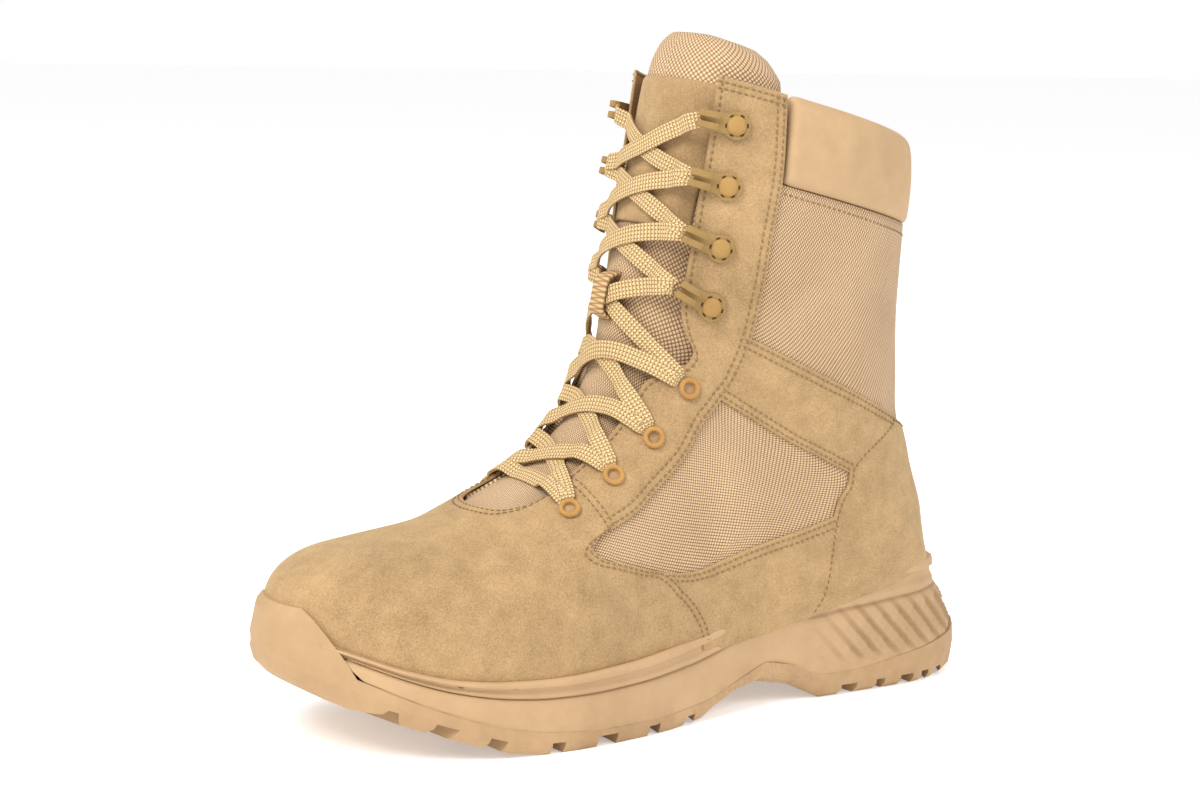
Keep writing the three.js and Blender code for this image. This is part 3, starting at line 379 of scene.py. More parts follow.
def finish_of(name, group, values, bump, distance=0.0004, sheen=0.0, tint=(1, 1, 1, 1)):
    """A material that takes its colour, roughness and height from one of the effects."""
    made = bpy.data.materials.new(name)
    made.use_nodes = True
    tree = made.node_tree
    shader = tree.nodes["Principled BSDF"]
    cloth = tree.nodes.new("ShaderNodeGroup")
    cloth.node_tree = group
    for key, value in values.items():
        cloth.inputs[key].default_value = value
    lift = add(tree, "ShaderNodeBump", {"Strength": bump, "Distance": distance,
                                        "Height": cloth.outputs["Height"]})
    tree.links.new(cloth.outputs["Color"], shader.inputs["Base Color"])
    tree.links.new(cloth.outputs["Roughness"], shader.inputs["Roughness"])
    tree.links.new(lift.outputs[0], shader.inputs["Normal"])
    shader.inputs["Specular IOR Level"].default_value = 0.3
    shader.inputs["Sheen Weight"].default_value = sheen
    shader.inputs["Sheen Tint"].default_value = tint
    return made


def srgb(red, green, blue):
    """A colour named by its screen values."""
    return tuple(((c / 255 + 0.055) / 1.055) ** 2.4 if c > 10 else c / 3294
                 for c in (red, green, blue)) + (1,)


def napped(name, pale, deep, blotch, fine, bump, metal=0.0, **more):
    """A finish of the nap effect, between two colours named by their screen values."""
    values = {"Pale": srgb(*pale), "Deep": srgb(*deep), "Blotch": blotch, "Fine": fine}
    made = finish_of(name, nap, values, bump, **more)
    made.node_tree.nodes["Principled BSDF"].inputs["Metallic"].default_value = metal
    return made


nylon = finish_of("woven_nylon", weave, {
    "Yarn": srgb(216, 184, 144), "Gap": srgb(122, 90, 60), "Pitch": 0.0015, "Lean": 0.7}, 0.8,
    sheen=0.1)
lining = finish_of("lining_mesh", weave, {
    "Yarn": srgb(176, 146, 110), "Gap": srgb(104, 80, 58), "Pitch": 0.0018, "Lean": 1.0}, 0.6)
suede = napped("sand_suede", (190, 157, 112), (108, 83, 53), 0.5, 0.42, 0.6,
    distance=0.0003, sheen=0.25, tint=srgb(240, 220, 180))

COLLAR_RING = 16.93
NYLON_LIFT, BASE_WALL = -0.5, 2.4
BASE_FOOT, BASE_OVERLAP, THROAT_BACK = 5.9, 0.02, 0.03

# The throat's two edges, from its round lower end, past the step above the top eyelet, to the top.
THROAT = [  # ring, outer edge, inner edge
    (5.66, 3, -1), (5.7, 8, -4), (5.8, 14, -9), (5.98, 19, -13), (6.3, 22, -15.5),
    (6.8, 20.5, -15.5), (7.3, 21.5, -16.5), (8.3, 22.2, -18.5), (9.1, 22.5, -20), (9.9, 23.5, -22),
    (10.6, 26, -25.5), (11.7, 29.5, -29.5), (12.2, 30, -30), (12.8, 28.2, -28.2),
    (13.5, 27.2, -27.2), (14.6, 27.8, -27.8), (16, 28.8, -28.8), (19, 29, -29),
]
throat_half = monotone([row[0] for row in THROAT], [row[1] for row in THROAT])
inner_throat = monotone([row[0] for row in THROAT], [row[2] for row in THROAT])


def front_angle(ring, y):
    """The angle on the front half of a ring where the outer side is y from the middle."""
    middle, outer = last["mid"](ring), last["outer"](ring)
    power = last["round_front"](ring)
    share = np.clip((y - middle) / (outer - middle), 0, 1)
    return math.pi - np.arctan2(share, (1 - share ** power) ** (1 / power))


def throat_angle(ring):
    return front_angle(ring, throat_half(ring))


def lay_base(u, v):
    ring = BASE_FOOT + (COLLAR_RING + BASE_OVERLAP - BASE_FOOT) * v
    reach = throat_angle(ring) - THROAT_BACK
    return ring, (2 * u - 1) * reach


base_mesh = sheet_mesh(np.linspace(0, 1, 161), np.linspace(0, 1, 121),
                       lambda u, v: on_last(*lay_base(u, v), NYLON_LIFT))
face_out(base_mesh, lambda at: Vector((0, math.copysign(1, at.y), 0)))
upper_base = make_piece("upper_base", base_mesh, nylon, lining)
wall = upper_base.modifiers.new("wall", "SOLIDIFY")
wall.thickness, wall.offset = BASE_WALL * MM, -1
wall.material_offset = 1
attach(upper_base, "boot")
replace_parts(upper_base, "upper")

# SUEDE PANELS
# Brushed cowhide about 1.2 mm thick, cut to shape, laid over the nylon and sewn down with one or
# two rows of thread: vamp, facings, ankle bands, lower quarters and the heel counter.
SUEDE_THICK, SUEDE_ROLL = 1.3, 1.1
stitches = []  # each one's middle, run and outward direction


def edge_of(rows):
    """A smooth edge through rows of ring and angle, by its share of the way along."""
    ring, angle = np.array(rows, float).T
    run = np.concatenate([[0], np.cumsum(np.linalg.norm(np.diff(bare(ring, angle), axis=0), axis=1))])
    ring_at, angle_at = monotone(run / run[-1], ring), monotone(run / run[-1], angle)
    return lambda share: np.stack([ring_at(share), angle_at(share)])


def between(bottom, top, front, back):
    """Fills four edges: bottom and top run front to back, front and back run bottom to top."""
    bottom, top, front, back = (edge_of(rows) for rows in (bottom, top, front, back))

    def lay(u, v):
        corner = [(1 - u) * (1 - v) * front(0 * v) + (1 - u) * v * front(0 * v + 1),
                  u * (1 - v) * back(0 * v) + u * v * back(0 * v + 1)]
        return (1 - v) * bottom(u) + v * top(u) + (1 - u) * front(v) + u * back(v) - sum(corner)

    return lay


def from_edge(points):
    """How far each corner of a grid is from the grid's nearest edge, in millimetres."""
    step_u = np.linalg.norm(np.diff(points, axis=0, prepend=points[:1]), axis=2).cumsum(0)
    step_v = np.linalg.norm(np.diff(points, axis=1, prepend=points[:, :1]), axis=2).cumsum(1)
    return step_u, step_u[-1:] - step_u, step_v, step_v[:, -1:] - step_v


def sew(lay, side, lift, u, v, pitch=2.6):
    """A row of stitches along the line of shares u and v."""
    ring, angle = lay(u, v)
    points = on_last(ring, side * angle, lift + 0.05)
    run = np.concatenate([[0], np.cumsum(np.linalg.norm(np.diff(points, axis=0), axis=1))])
    outs = outward(ring, side * angle)

    def along(values, at):
        return np.array([np.interp(at, run, values[:, i]) for i in range(3)])

    for at in np.arange(pitch / 2, run[-1] / MM, pitch) * MM:
        heading = along(points, at + 0.3 * MM) - along(points, at - 0.3 * MM)
        stitches.append((along(points, at), heading, along(outs, at)))


def panel(name, lay, side, lift, size, finish, rows=(), rolled=("front", "back", "bottom", "top")):
    """A cloth laid by lay(u, v), whose edges roll down to the cloth below, with rows of stitches:
    each row names an edge and how far in from it the row runs."""
    us, vs = bunched(size[0], size[2]), bunched(size[1], size[3])
    grid_u, grid_v = np.meshgrid(us, vs, indexing="ij")
    ring, angle = lay(grid_u, grid_v)
    edges = dict(zip(("front", "back", "bottom", "top"), from_edge(bare(ring, angle))))
    near = np.min([edges[key] for key in rolled], axis=0)
    roll = np.sqrt(1 - (1 - np.clip(near / SUEDE_ROLL, 0, 1)) ** 2)
    for key, inset in rows:
        near = edges[key]
        if key in ("front", "back"):
            u = np.array([np.interp(inset, near[:, j], us) if key == "front" else
                          np.interp(-inset, -near[:, j], us) for j in range(len(vs))])
            sew(lay, side, lift + SUEDE_THICK, u, vs)
        else:
            v = np.array([np.interp(inset, near[i], vs) if key == "bottom" else
                          np.interp(-inset, -near[i], vs) for i in range(len(us))])
            sew(lay, side, lift + SUEDE_THICK, us, v)
        crease = np.exp(-((near - inset) / 0.7) ** 2)
        roll = roll - 0.16 * crease
    height = lift + SUEDE_THICK * roll
    mesh = sheet_mesh(us, vs, lambda u, v: on_last(ring, side * angle, height))
    bmesh.ops.remove_doubles(mesh, verts=mesh.verts, dist=1e-6)
    middle = len(us) // 2, len(vs) // 2
    spot = Vector(on_last(ring, side * angle, height)[middle])
    face = min(mesh.faces, key=lambda f: (f.calc_center_median() - spot).length)
    face.normal_update()
    if face.normal.dot(Vector(outward(ring, side * angle)[middle])) < 0:
        bmesh.ops.reverse_faces(mesh, faces=mesh.faces)
    piece = make_piece(name, mesh, finish)
    wall = piece.modifiers.new("wall", "SOLIDIFY")
    wall.thickness, wall.offset = 1.2 * MM, -1
    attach(piece, "boot")
    return piece


# How high the sole comes: its height where the upper meets it, from heel to toe.
SEAT = [
    (-51, 49), (-41, 49.5), (-28, 50), (0, 51), (24, 50.5), (43, 48), (52, 46.5), (64, 44),
    (80, 39.5), (95, 35.5), (108, 33), (140, 29.5), (176, 28), (190, 28.5), (212, 30.5),
    (230, 34.5), (248, 40.5), (268, 46),
]
seat = monotone(*zip(*SEAT))


def feather(ring, below=1.4):
    """The angle where the last meets the sole, or a little below that line."""
    low, high = np.zeros(np.shape(ring)), np.full(np.shape(ring), math.pi)
    for _ in range(24):
        angle = (low + high) / 2
        point = bare(ring, angle)
        under = point[..., 2] < seat(point[..., 0]) - below
        low, high = np.where(under, angle, low), np.where(under, high, angle)
    return low


# The vamp runs from the toe to a pointed tip on each side and round the lower end of the throat.
VAMP_EDGE = [
    (8.5, 0.85), (8.55, 0.957), (8.57, 1.105), (8.53, 1.278), (8.41, 1.506), (8.18, 1.71),
    (7.78, 1.828), (7.33, 1.956), (6.91, 2.073), (6.78, 2.155), (6.86, 2.19), (7.05, 2.207),
    (7.43, 2.208), (7.3, 2.45), (7.17, 2.66), (6.8, 2.685), (6.3, 2.705), (5.98, 2.77), (5.8, 2.85),
    (5.7, 2.97), (5.66, 3.08), (5.65, math.pi),
]
vamp_edge = edge_of(VAMP_EDGE)


def lay_vamp(u, v):
    side = np.where(u < 0.5, 1.0, -1.0)
    ring_end, angle_end = vamp_edge(1 - np.abs(2 * u - 1))
    low = feather(ring_end)
    share = np.clip((angle_end - low) / (math.pi - low), 0, 1)
    ring = 0.02 + (ring_end - 0.02) * v
    low = feather(ring)
    return np.stack([ring, side * (low + share * (math.pi - low))])


panel("vamp", lay_vamp, 1, 0.0, (150, 90, 500, 220), suede,
      rows=(("top", 1.6), ("top", 4.2)), rolled=("top",))

FACING_FRONT = [(ring, float(throat_angle(ring))) for ring in
                (7.05, 7.6, 8.3, 9.1, 9.9, 10.6, 11.2, 11.7, 12.2, 12.8, 13.5, 14.6, 16, 17, 18)]
FACING_BACK = [
    (7.25, 2.19), (8.03, 2.139), (8.55, 2.132), (9.41, 2.105), (10.44, 2.13), (11.06, 2.126),
    (12.2, 2.09), (13.24, 2.045), (14.04, 2.001), (15.38, 1.945), (16.95, 1.929), (17.98, 1.955),
]
facing = between([FACING_FRONT[0], FACING_BACK[0]], [FACING_FRONT[-1], FACING_BACK[-1]],
                 FACING_FRONT, FACING_BACK)
BAND_TOP = [(13.84, 2.06), (14.0, 1.8), (14.12, 1.587), (14.3, 1.2), (14.42, 0.78)]
BAND_BOTTOM = [(11.2, 2.16), (11.4, 1.96), (11.58, 1.79), (11.9, 1.6), (12.29, 1.36)]
band = between(BAND_BOTTOM, BAND_TOP, [BAND_BOTTOM[0], (12.5, 2.12), BAND_TOP[0]],
               [BAND_BOTTOM[-1], (13.4, 1.18), BAND_TOP[-1]])
COUNTER_EDGE = [
    (9.75, 0.82), (10.09, 0.995), (10.42, 1.158), (10.88, 1.311), (11.52, 1.381), (12.25, 1.389),
    (12.9, 1.32), (13.38, 1.217), (13.9, 1.04), (14.38, 0.833),
]
QUARTER_TOP = [(8.1, 1.74), (8.6, 1.61), (9.28, 1.487), (10.2, 1.349), (10.98, 1.31)]
QUARTER_BACK = [(9.75, 0.75), (10.2, 0.97), (10.6, 1.15), (10.98, 1.31)]
QUARTER_FRONT = [(8.4, 0.86), (8.42, 0.957), (8.44, 1.105), (8.4, 1.278), (8.3, 1.506), (8.1, 1.74)]
quarter = between([QUARTER_FRONT[0], (9.1, 0.82), QUARTER_BACK[0]], QUARTER_TOP,
                  QUARTER_FRONT, QUARTER_BACK)
FACING_LIFT, QUARTER_LIFT = -0.1, -0.35
TOP_ROWS, BOTTOM_ROWS = (("top", 1.6), ("top", 4.2)), (("bottom", 1.6), ("bottom", 4.2))
for side_name, side in (("lateral", 1), ("medial", -1)):
    panel(f"facing_{side_name}", facing, side, FACING_LIFT, (34, 150, 34, 230), suede,
          rows=(("back", 1.6), ("back", 4.4), ("front", 2.2), ("top", 1.9), ("top", 4.4)))
    panel(f"lower_quarter_{side_name}", quarter, side, QUARTER_LIFT, (90, 34, 70, 30), suede,
          rows=TOP_ROWS, rolled=("top",))
panel("ankle_band_lateral", band, 1, QUARTER_LIFT, (70, 40, 80, 45), suede,
      rows=TOP_ROWS + BOTTOM_ROWS, rolled=("top", "bottom"))


def split_band(first, past):
    return lambda u, v: band(first + (past - first) * u, v)


for name, reach, cut in (("front", (0.0, 0.41), "back"), ("back", (0.56, 1.0), "front")):
    panel(f"ankle_band_medial_{name}", split_band(*reach), -1, QUARTER_LIFT, (34, 40, 36, 45), suede,
          rows=TOP_ROWS + BOTTOM_ROWS + ((cut, 1.6),), rolled=("top", "bottom", cut))

counter_edge = edge_of(COUNTER_EDGE)
counter_back = monotone([0, 0.5, 1], [11.6, 13.2, 14.55])


def lay_counter(u, v):
    ring, angle = counter_edge(v)
    turn = 1 - 2 * u
    return np.stack([ring + (counter_back(v) - ring) * (1 - turn ** 2), angle * turn])


panel("heel_counter", lay_counter, 1, FACING_LIFT, (110, 60, 150, 70), suede,
      rows=(("front", 1.6), ("back", 1.6), ("top", 1.6)), rolled=("front", "back", "top"))

# COLLAR
# Smooth soft leather over foam, closed round the top of the shaft in two padded lengths that meet
# at the zip, and bound to the shaft below by a seam.
leather = napped("collar_leather", (188, 157, 119), (158, 127, 91), 0.5, 0.12, 0.12,
    distance=0.0005)
leather.node_tree.nodes["Principled BSDF"].inputs["Coat Weight"].default_value = 0.08
COLLAR_SECTION = [  # share of the height, and how far out
    (0, -0.6), (0.1, 1.2), (0.5, 1.9), (0.86, 1.2), (1, -1.8), (1, -5.2), (0.9, -8), (0.4, -8.4),
    (0.1, -6.4), (0, -4),
]
TOP_RING, FACING_REAR = 18, 70
OUTER_SIDE, INNER_SIDE = 1, -1
ZIP_LINE = [(46, 68), (73, 61.3), (117, 50.6), (148, 42.5), (172, 38), (197, 34), (240, 28.5)]
zip_x = monotone(*zip(*ZIP_LINE))


def at_side(x, z, side):
    """The ring and angle of the point of one side that is at x and z."""
    ring, angle = 14.0, side * 1.5
    for _ in range(40):
        point = bare(ring, angle)
        by_ring = (bare(ring + 0.01, angle) - point) / 0.01
        by_angle = (bare(ring, angle + 0.01) - point) / 0.01
        jacobian = np.array([[by_ring[0], by_angle[0]], [by_ring[2], by_angle[2]]])
        step = np.linalg.solve(jacobian, np.array([x - point[0], z - point[2]]))
        ring += float(np.clip(step[0], -1, 1))
        angle += float(np.clip(step[1], -0.3, 0.3))
    return ring, angle


def loop_through(points, count):
    """Points round a smooth closed curve through the ones given."""
    points = np.array(points, float)
    turns = np.linspace(0, len(points), count, endpoint=False)
    i, u = turns.astype(int), (turns % 1)[:, None]
    p0, p1, p2, p3 = (points[(i + k) % len(points)] for k in (-1, 0, 1, 2))
    return p1 + u / 2 * (p2 - p0 + u * (2 * p0 - 5 * p1 + 4 * p2 - p3 + u * (3 * (p1 - p2) + p3 - p0)))


SECTION_STEPS, END_ROLL, SHAFT_RADIUS = 44, 2.5, 40


def collar_half(name, start, end, count):
    section = loop_through(COLLAR_SECTION, SECTION_STEPS)
    middle = section.mean(axis=0)
    reach = abs(end - start) * SHAFT_RADIUS

    def place(u, v):
        index = np.rint(v * SECTION_STEPS).astype(int) % SECTION_STEPS
        share, offset = section[index, 0], section[index, 1]
        near = np.clip(np.minimum(u, 1 - u) * reach / END_ROLL, 0, 1)
        close = np.sqrt(np.clip(1 - (1 - near) ** 2, 0, 1))
        close = 0.04 + 0.96 * close
        share = middle[0] + (share - middle[0]) * (0.9 + 0.1 * close)
        offset = middle[1] + (offset - middle[1]) * close
        angle = start + (end - start) * u
        soft = 0.35 * np.sin(9 * angle + 1.3) * np.sin(math.pi * share) + 0.25 * np.sin(
            23 * angle) * np.sin(math.pi * share) ** 2
        ring = COLLAR_RING + 0.045 + (TOP_RING - 0.02 - COLLAR_RING - 0.045) * share
        return on_last(ring, angle, offset + soft * (offset > -3))

    mesh = sheet_mesh(bunched(count, reach, END_ROLL), np.linspace(0, 1, SECTION_STEPS + 1), place,
                      closed_u=True)
    bmesh.ops.holes_fill(mesh, edges=mesh.edges)
    bmesh.ops.recalc_face_normals(mesh, faces=mesh.faces)
    piece = make_piece(name, mesh, leather)
    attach(piece, "boot")
    return piece


COLLAR_TOP, COLLAR_GAP, COLLAR_END_HIGH = 215, 2.2, 236
ZIP_GAP, ZIP_END_HIGH = 7, 226
lateral_end = at_side(FACING_REAR - COLLAR_GAP, COLLAR_END_HIGH, OUTER_SIDE)[1]
medial_end = at_side(FACING_REAR - COLLAR_GAP, COLLAR_END_HIGH, INNER_SIDE)[1]
zip_back = at_side(float(zip_x(COLLAR_TOP)) - ZIP_GAP, ZIP_END_HIGH, INNER_SIDE)[1]
zip_front = at_side(float(zip_x(COLLAR_TOP)) + ZIP_GAP, ZIP_END_HIGH, INNER_SIDE)[1]
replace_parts(collar_half("collar_pad_main", lateral_end, zip_back, 230), "collar_main")
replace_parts(collar_half("collar_pad_front", zip_front, medial_end, 50), "collar_front")

# TONGUE
# Foam covered in the woven nylon, thickest at its rolled top, with a suede patch sewn near the top.
TONGUE_COLUMNS = "ring half depth thick"
TONGUE = [
    (5.0, 20, 1.6, 2.6), (6, 26, 1.6, 3), (7.5, 27, 1.9, 3.4), (9, 27, 3, 4), (10.5, 30, 3.8, 4.5),
    (12.2, 34, 4.1, 5), (14.5, 36.5, 4.1, 6), (16.5, 38.5, 4.1, 7), (17.5, 38.8, 4.6, 8.5),
    (18, 38.5, 6.0, 9.5), (18.28, 37, 8.5, 9.5), (18.42, 33, 11.5, 6), (18.46, 30, 13, 3),
]
TONGUE_FOOT, TONGUE_TOP = 5.0, 18.46
TONGUE_WRAP = {"from": 16.4, "to": 17.7, "reach": 1.28, "tuck": 6.5}
tongue = {name: monotone([row[0] for row in TONGUE], [row[i] for row in TONGUE])
          for i, name in enumerate(TONGUE_COLUMNS.split()) if i}


def smooth_step(value):
    value = np.clip(value, 0, 1)
    return value * value * (3 - 2 * value)


def front_turn(ring, y, most=1.0):
    """How far round from the front y is, as an angle, and its side: 1 outer, -1 inner."""
    middle, outer, inner = (last[key](ring) for key in ("mid", "outer", "inner"))
    power = last["round_front"](ring)
    half = np.where(y > middle, outer - middle, middle - inner)
    reach = np.clip(np.abs(y - middle) / half, 0, most)
    return np.arctan2(reach, (1 - reach ** power) ** (1 / power)), np.where(y > middle, 1, -1)


def on_tongue(ring, across, offset, top=1.0):
    """Points so far outside the last, at a share of the tongue's half width. It wraps round the
    shaft near its top."""
    turn, side = front_turn(ring, last["mid"](ring) + tongue["half"](ring) * across, 0.995)
    wrap = smooth_step((ring - TONGUE_WRAP["from"]) / (TONGUE_WRAP["to"] - TONGUE_WRAP["from"]))
    turn = turn + (TONGUE_WRAP["reach"] * top * np.abs(across) - turn) * wrap
    offset = offset - TONGUE_WRAP["tuck"] * wrap * np.abs(across) ** 5
    return on_last(ring, math.pi - side * turn, offset)


def lay_tongue(u, v):
    """u goes round the section from the middle of the front; v goes up."""
    ring = TONGUE_FOOT + (TONGUE_TOP - TONGUE_FOOT) * v
    turn = 2 * math.pi * u
    across = np.sign(np.sin(turn)) * np.abs(np.sin(turn)) ** 0.9
    depth, thick = tongue["depth"](ring), tongue["thick"](ring)
    full = np.abs(np.cos(turn)) ** 0.45 * np.sign(np.cos(turn))
    offset = -depth - thick / 2 + full * thick / 2
    offset = offset + 0.3 * np.sin(31 * v + 3 * across) * (full > 0)
    top = np.clip((TONGUE_TOP - ring) / 0.3, 0, 1) ** 0.5 * 0.16 + 0.84
    return on_tongue(ring, across, offset, top)


tongue_mesh = sheet_mesh(np.linspace(0, 1, 97), np.linspace(0, 1, 181), lay_tongue, closed_u=True)
bmesh.ops.holes_fill(tongue_mesh, edges=tongue_mesh.edges)
bmesh.ops.recalc_face_normals(tongue_mesh, faces=tongue_mesh.faces)
tongue_piece = make_piece("tongue_pad", tongue_mesh, nylon)
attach(tongue_piece, "boot")
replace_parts(tongue_piece, "tongue")

PATCH = {"low": 15.2, "high": 17.9, "half": 0.74}  # its half width, as a share of the tongue's


def lay_patch(u, v):
    ring = PATCH["low"] + (PATCH["high"] - PATCH["low"]) * v
    across = (2 * u - 1) * PATCH["half"]
    turn = np.arcsin(np.abs(across) ** (1 / 0.9)) * np.sign(across)
    depth, thick = tongue["depth"](ring), tongue["thick"](ring)
    offset = -depth - thick / 2 + np.cos(turn) ** 0.45 * thick / 2
    near = np.minimum(np.minimum(u, 1 - u) * 60, np.minimum(v, 1 - v) * 45)
    offset = offset + 1.1 * np.sqrt(1 - (1 - np.clip(near / 1.1, 0, 1)) ** 2)
    return on_tongue(ring, across, offset)


patch_mesh = sheet_mesh(bunched(50, 60, 1.1), bunched(40, 45, 1.1), lay_patch)
face_out(patch_mesh, lambda at: Vector((1, 0, 0)))
tongue_patch = make_piece("tongue_patch", patch_mesh, suede)
tongue_patch.modifiers.new("wall", "SOLIDIFY").thickness = 0.9 * MM
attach(tongue_patch, "boot")

# STRAP AND ZIP
# A suede tab from the inner facing is laid over the top of the zip, its slanted end left free.
# The zip is a moulded chain between two dark woven tapes, with a metal slider and pull.
STRAP = [(4.41, 2.2), (4.6, 4.6), (4.8, 7.6), (5.1, 7.6), (5.35, 5.2), (5.6, 4.6), (5.88, 7.5)]
STRAP_FOOT, STRAP_END = STRAP[0][0], (5.53, 5.88)
STRAP_LOW, STRAP_HIGH, STRAP_THICK = 16.98, 17.77, 2
strap_offset = monotone(*zip(*STRAP))


def along_strap(u, v, round_off=0.0):
    """The ring and angle at a share of the strap's length and of its width."""
    ring = STRAP_LOW + (STRAP_HIGH - STRAP_LOW) * v
    end = STRAP_END[0] + (STRAP_END[1] - STRAP_END[0]) * v
    return np.stack([ring, STRAP_FOOT + (end - round_off - STRAP_FOOT) * u])


def lay_strap(u, v):
    round_off = 0.10 * np.clip((np.abs(2 * v - 1) - 0.7) / 0.3, 0, 1) ** 2
    ring, angle = along_strap(u, v, round_off)
    near = np.minimum((1 - u) * 60, np.minimum(v, 1 - v) * 18)
    roll = np.sqrt(1 - (1 - np.clip(near / 1.0, 0, 1)) ** 2)
    return on_last(ring, angle, strap_offset(angle) + STRAP_THICK - 0.8 + 0.8 * roll)


strap_mesh = sheet_mesh(bunched(70, 60, 1.0), bunched(20, 18, 1.0), lay_strap)
face_out(strap_mesh, lambda at: Vector((0, -1, 0)))
strap = make_piece("strap", strap_mesh, suede)
strap.modifiers.new("wall", "SOLIDIFY").thickness = 1.2 * MM
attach(strap, "boot")
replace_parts(strap, "zip_strap")

tape = napped("zip_tape", (104, 82, 64), (66, 50, 38), 0.4, 0.5, 0.4)
teeth_mesh = bmesh.new()
ZIP_FOOT, ZIP_HEAD, TOOTH_PITCH = 56, 218, 1.5
for step in range(int((ZIP_HEAD - ZIP_FOOT) / TOOTH_PITCH)):
    z = ZIP_FOOT + step * TOOTH_PITCH
    side = 1 if step % 2 else -1
    ring, angle = at_side(float(zip_x(z)) + 0.55 * side, z, INNER_SIDE)
    at, out = Vector(on_last(ring, angle, 0.35)), Vector(outward(ring, angle))
    along = Vector((float(zip_x(z + 1) - zip_x(z)), 0, 1)).normalized()
    across = along.cross(out).normalized()
    turn = Matrix((across, along, out)).transposed() @ (Matrix.Diagonal((3.6, 1.15, 1.3)) * MM)
    bmesh.ops.create_cube(teeth_mesh, size=1, matrix=Matrix.Translation(at) @ turn.to_4x4())
bmesh.ops.recalc_face_normals(teeth_mesh, faces=teeth_mesh.faces)
chain = make_piece("zip_chain", teeth_mesh, tape, smooth=False)
bevel = chain.modifiers.new("soft", "BEVEL")
bevel.width, bevel.segments = 0.2 * MM, 1
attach(chain, "boot")

TAPE_HALF = 4.4


def lay_tape(u, v):
    z = ZIP_FOOT + 2 + (ZIP_HEAD + 8 - ZIP_FOOT) * v
    rows = np.array([at_side(float(zip_x(at)), at, INNER_SIDE) for at in z[0]])
    ring = np.broadcast_to(rows[:, 0], u.shape)
    point = bare(ring, rows[:, 1])
    wide = np.linalg.norm(bare(ring, rows[:, 1] + 0.01) - point, axis=-1) / 0.01
    angle = rows[:, 1] + (2 * u - 1) * TAPE_HALF / wide
    across = np.abs(2 * u - 1)
    rim = 0.8 * np.exp(-((across - 0.86) / 0.12) ** 2)
    return on_last(ring, angle, -0.45 + 0.3 * (1 - across) + rim)


tape_mesh = sheet_mesh(np.linspace(0, 1, 25), np.linspace(0, 1, 90), lay_tape)
face_out(tape_mesh, lambda at: Vector((0, -1, 0)))
tapes = make_piece("zip_tapes", tape_mesh, tape)
tapes.modifiers.new("wall", "SOLIDIFY").thickness = 0.8 * MM
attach(tapes, "boot")

# Brushed metal: a fine grain, in blotches of lighter and darker tone.
brushed = napped("slider_metal", (176, 164, 160), (118, 106, 102), 0.5, 0.3, 0.08,
                 metal=0.9)
for node, finish in (("zip", tape), ("zip_slider", brushed), ("zip_pull", brushed)):
    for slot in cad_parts[node].material_slots:
        slot.material = finish

# BACK SEAM
# A narrow folded strip of leather sewn over the seam that closes the shaft at the back, coloured darker
# than the suede as painted shade for the seam's shadow.
SEAM_HALF, SEAM_HIGH = 1.3, 1.0
SEAM_FOOT, SEAM_TOP = 14.2, 16.95


def lay_back_seam(u, v):
    ring = SEAM_FOOT + (SEAM_TOP - SEAM_FOOT) * v
    wide = np.linalg.norm(bare(ring, 0.02) - bare(ring, 0.0), axis=-1) / 0.02
    round_over = np.sqrt(np.clip(1 - (2 * u - 1) ** 2, 0, 1))
    return on_last(ring, (2 * u - 1) * SEAM_HALF / wide, NYLON_LIFT - 0.2 + SEAM_HIGH * round_over)


seam_mesh = sheet_mesh(np.linspace(0, 1, 11), np.linspace(0, 1, 60), lay_back_seam)
face_out(seam_mesh, lambda at: Vector((-1, 0, 0)))
# Painted shade: the strip's dark colour stands in for the shadow along the back seam.
seam_leather_painted_shade = napped("seam_leather_painted_shade", (150, 118, 80), (104, 78, 50), 0.5, 0.4, 0.5)
back_seam = make_piece("back_seam", seam_mesh, seam_leather_painted_shade)
back_seam.modifiers.new("wall", "SOLIDIFY").thickness = 0.8 * MM
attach(back_seam, "boot")

# STITCHES
# Bonded thread in short stitches, a row or two beside each cut edge of the suede.
STITCH = {"long": 1.0, "wide": 0.36, "high": 0.3}  # half sizes, in millimetres
thread = napped("bonded_thread", (158, 126, 88), (100, 76, 48), 0.5, 0.4, 0.4)
COLLAR_STITCH_RING = 16.82
STRAP_EDGE = 0.1  # its rows of stitches run this share of its width in from its edges
COLLAR_ROWS, ROW_POINTS = ((-1.86, -0.98), (-0.82, 1.9)), 90  # either side of the zip
for reach in COLLAR_ROWS:
    angle = np.linspace(*reach, ROW_POINTS)
    ring = np.full(ROW_POINTS, COLLAR_STITCH_RING)
    sew(lambda u, v: np.stack([u, v]), 1, NYLON_LIFT, ring, angle)


for v in (STRAP_EDGE, 1 - STRAP_EDGE):
    share = np.linspace(0.05, 0.94, 60)
    lift = strap_offset(along_strap(share, v + 0 * share)[1]) + STRAP_THICK
    sew(along_strap, 1, lift, share, v + 0 * share)
share = np.linspace(STRAP_EDGE, 1 - STRAP_EDGE, 20)
lift = strap_offset(along_strap(0.95 + 0 * share, share)[1]) + STRAP_THICK
sew(along_strap, 1, lift, 0.95 + 0 * share, share)
rows_mesh = bmesh.new()
for at, run, out in stitches:
    run, out = Vector(run).normalized(), Vector(out).normalized()
    across = run.cross(out).normalized()
    sizes = Matrix.Diagonal((STITCH["long"], STITCH["wide"], STITCH["high"])) * MM
    turn = Matrix((run, across, across.cross(run))).transposed()
    bmesh.ops.create_icosphere(rows_mesh, subdivisions=1, radius=1,
                               matrix=Matrix.Translation(at) @ (turn @ sizes).to_4x4())
bmesh.ops.recalc_face_normals(rows_mesh, faces=rows_mesh.faces)
seams = make_piece("stitches", rows_mesh, thread)
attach(seams, "boot")

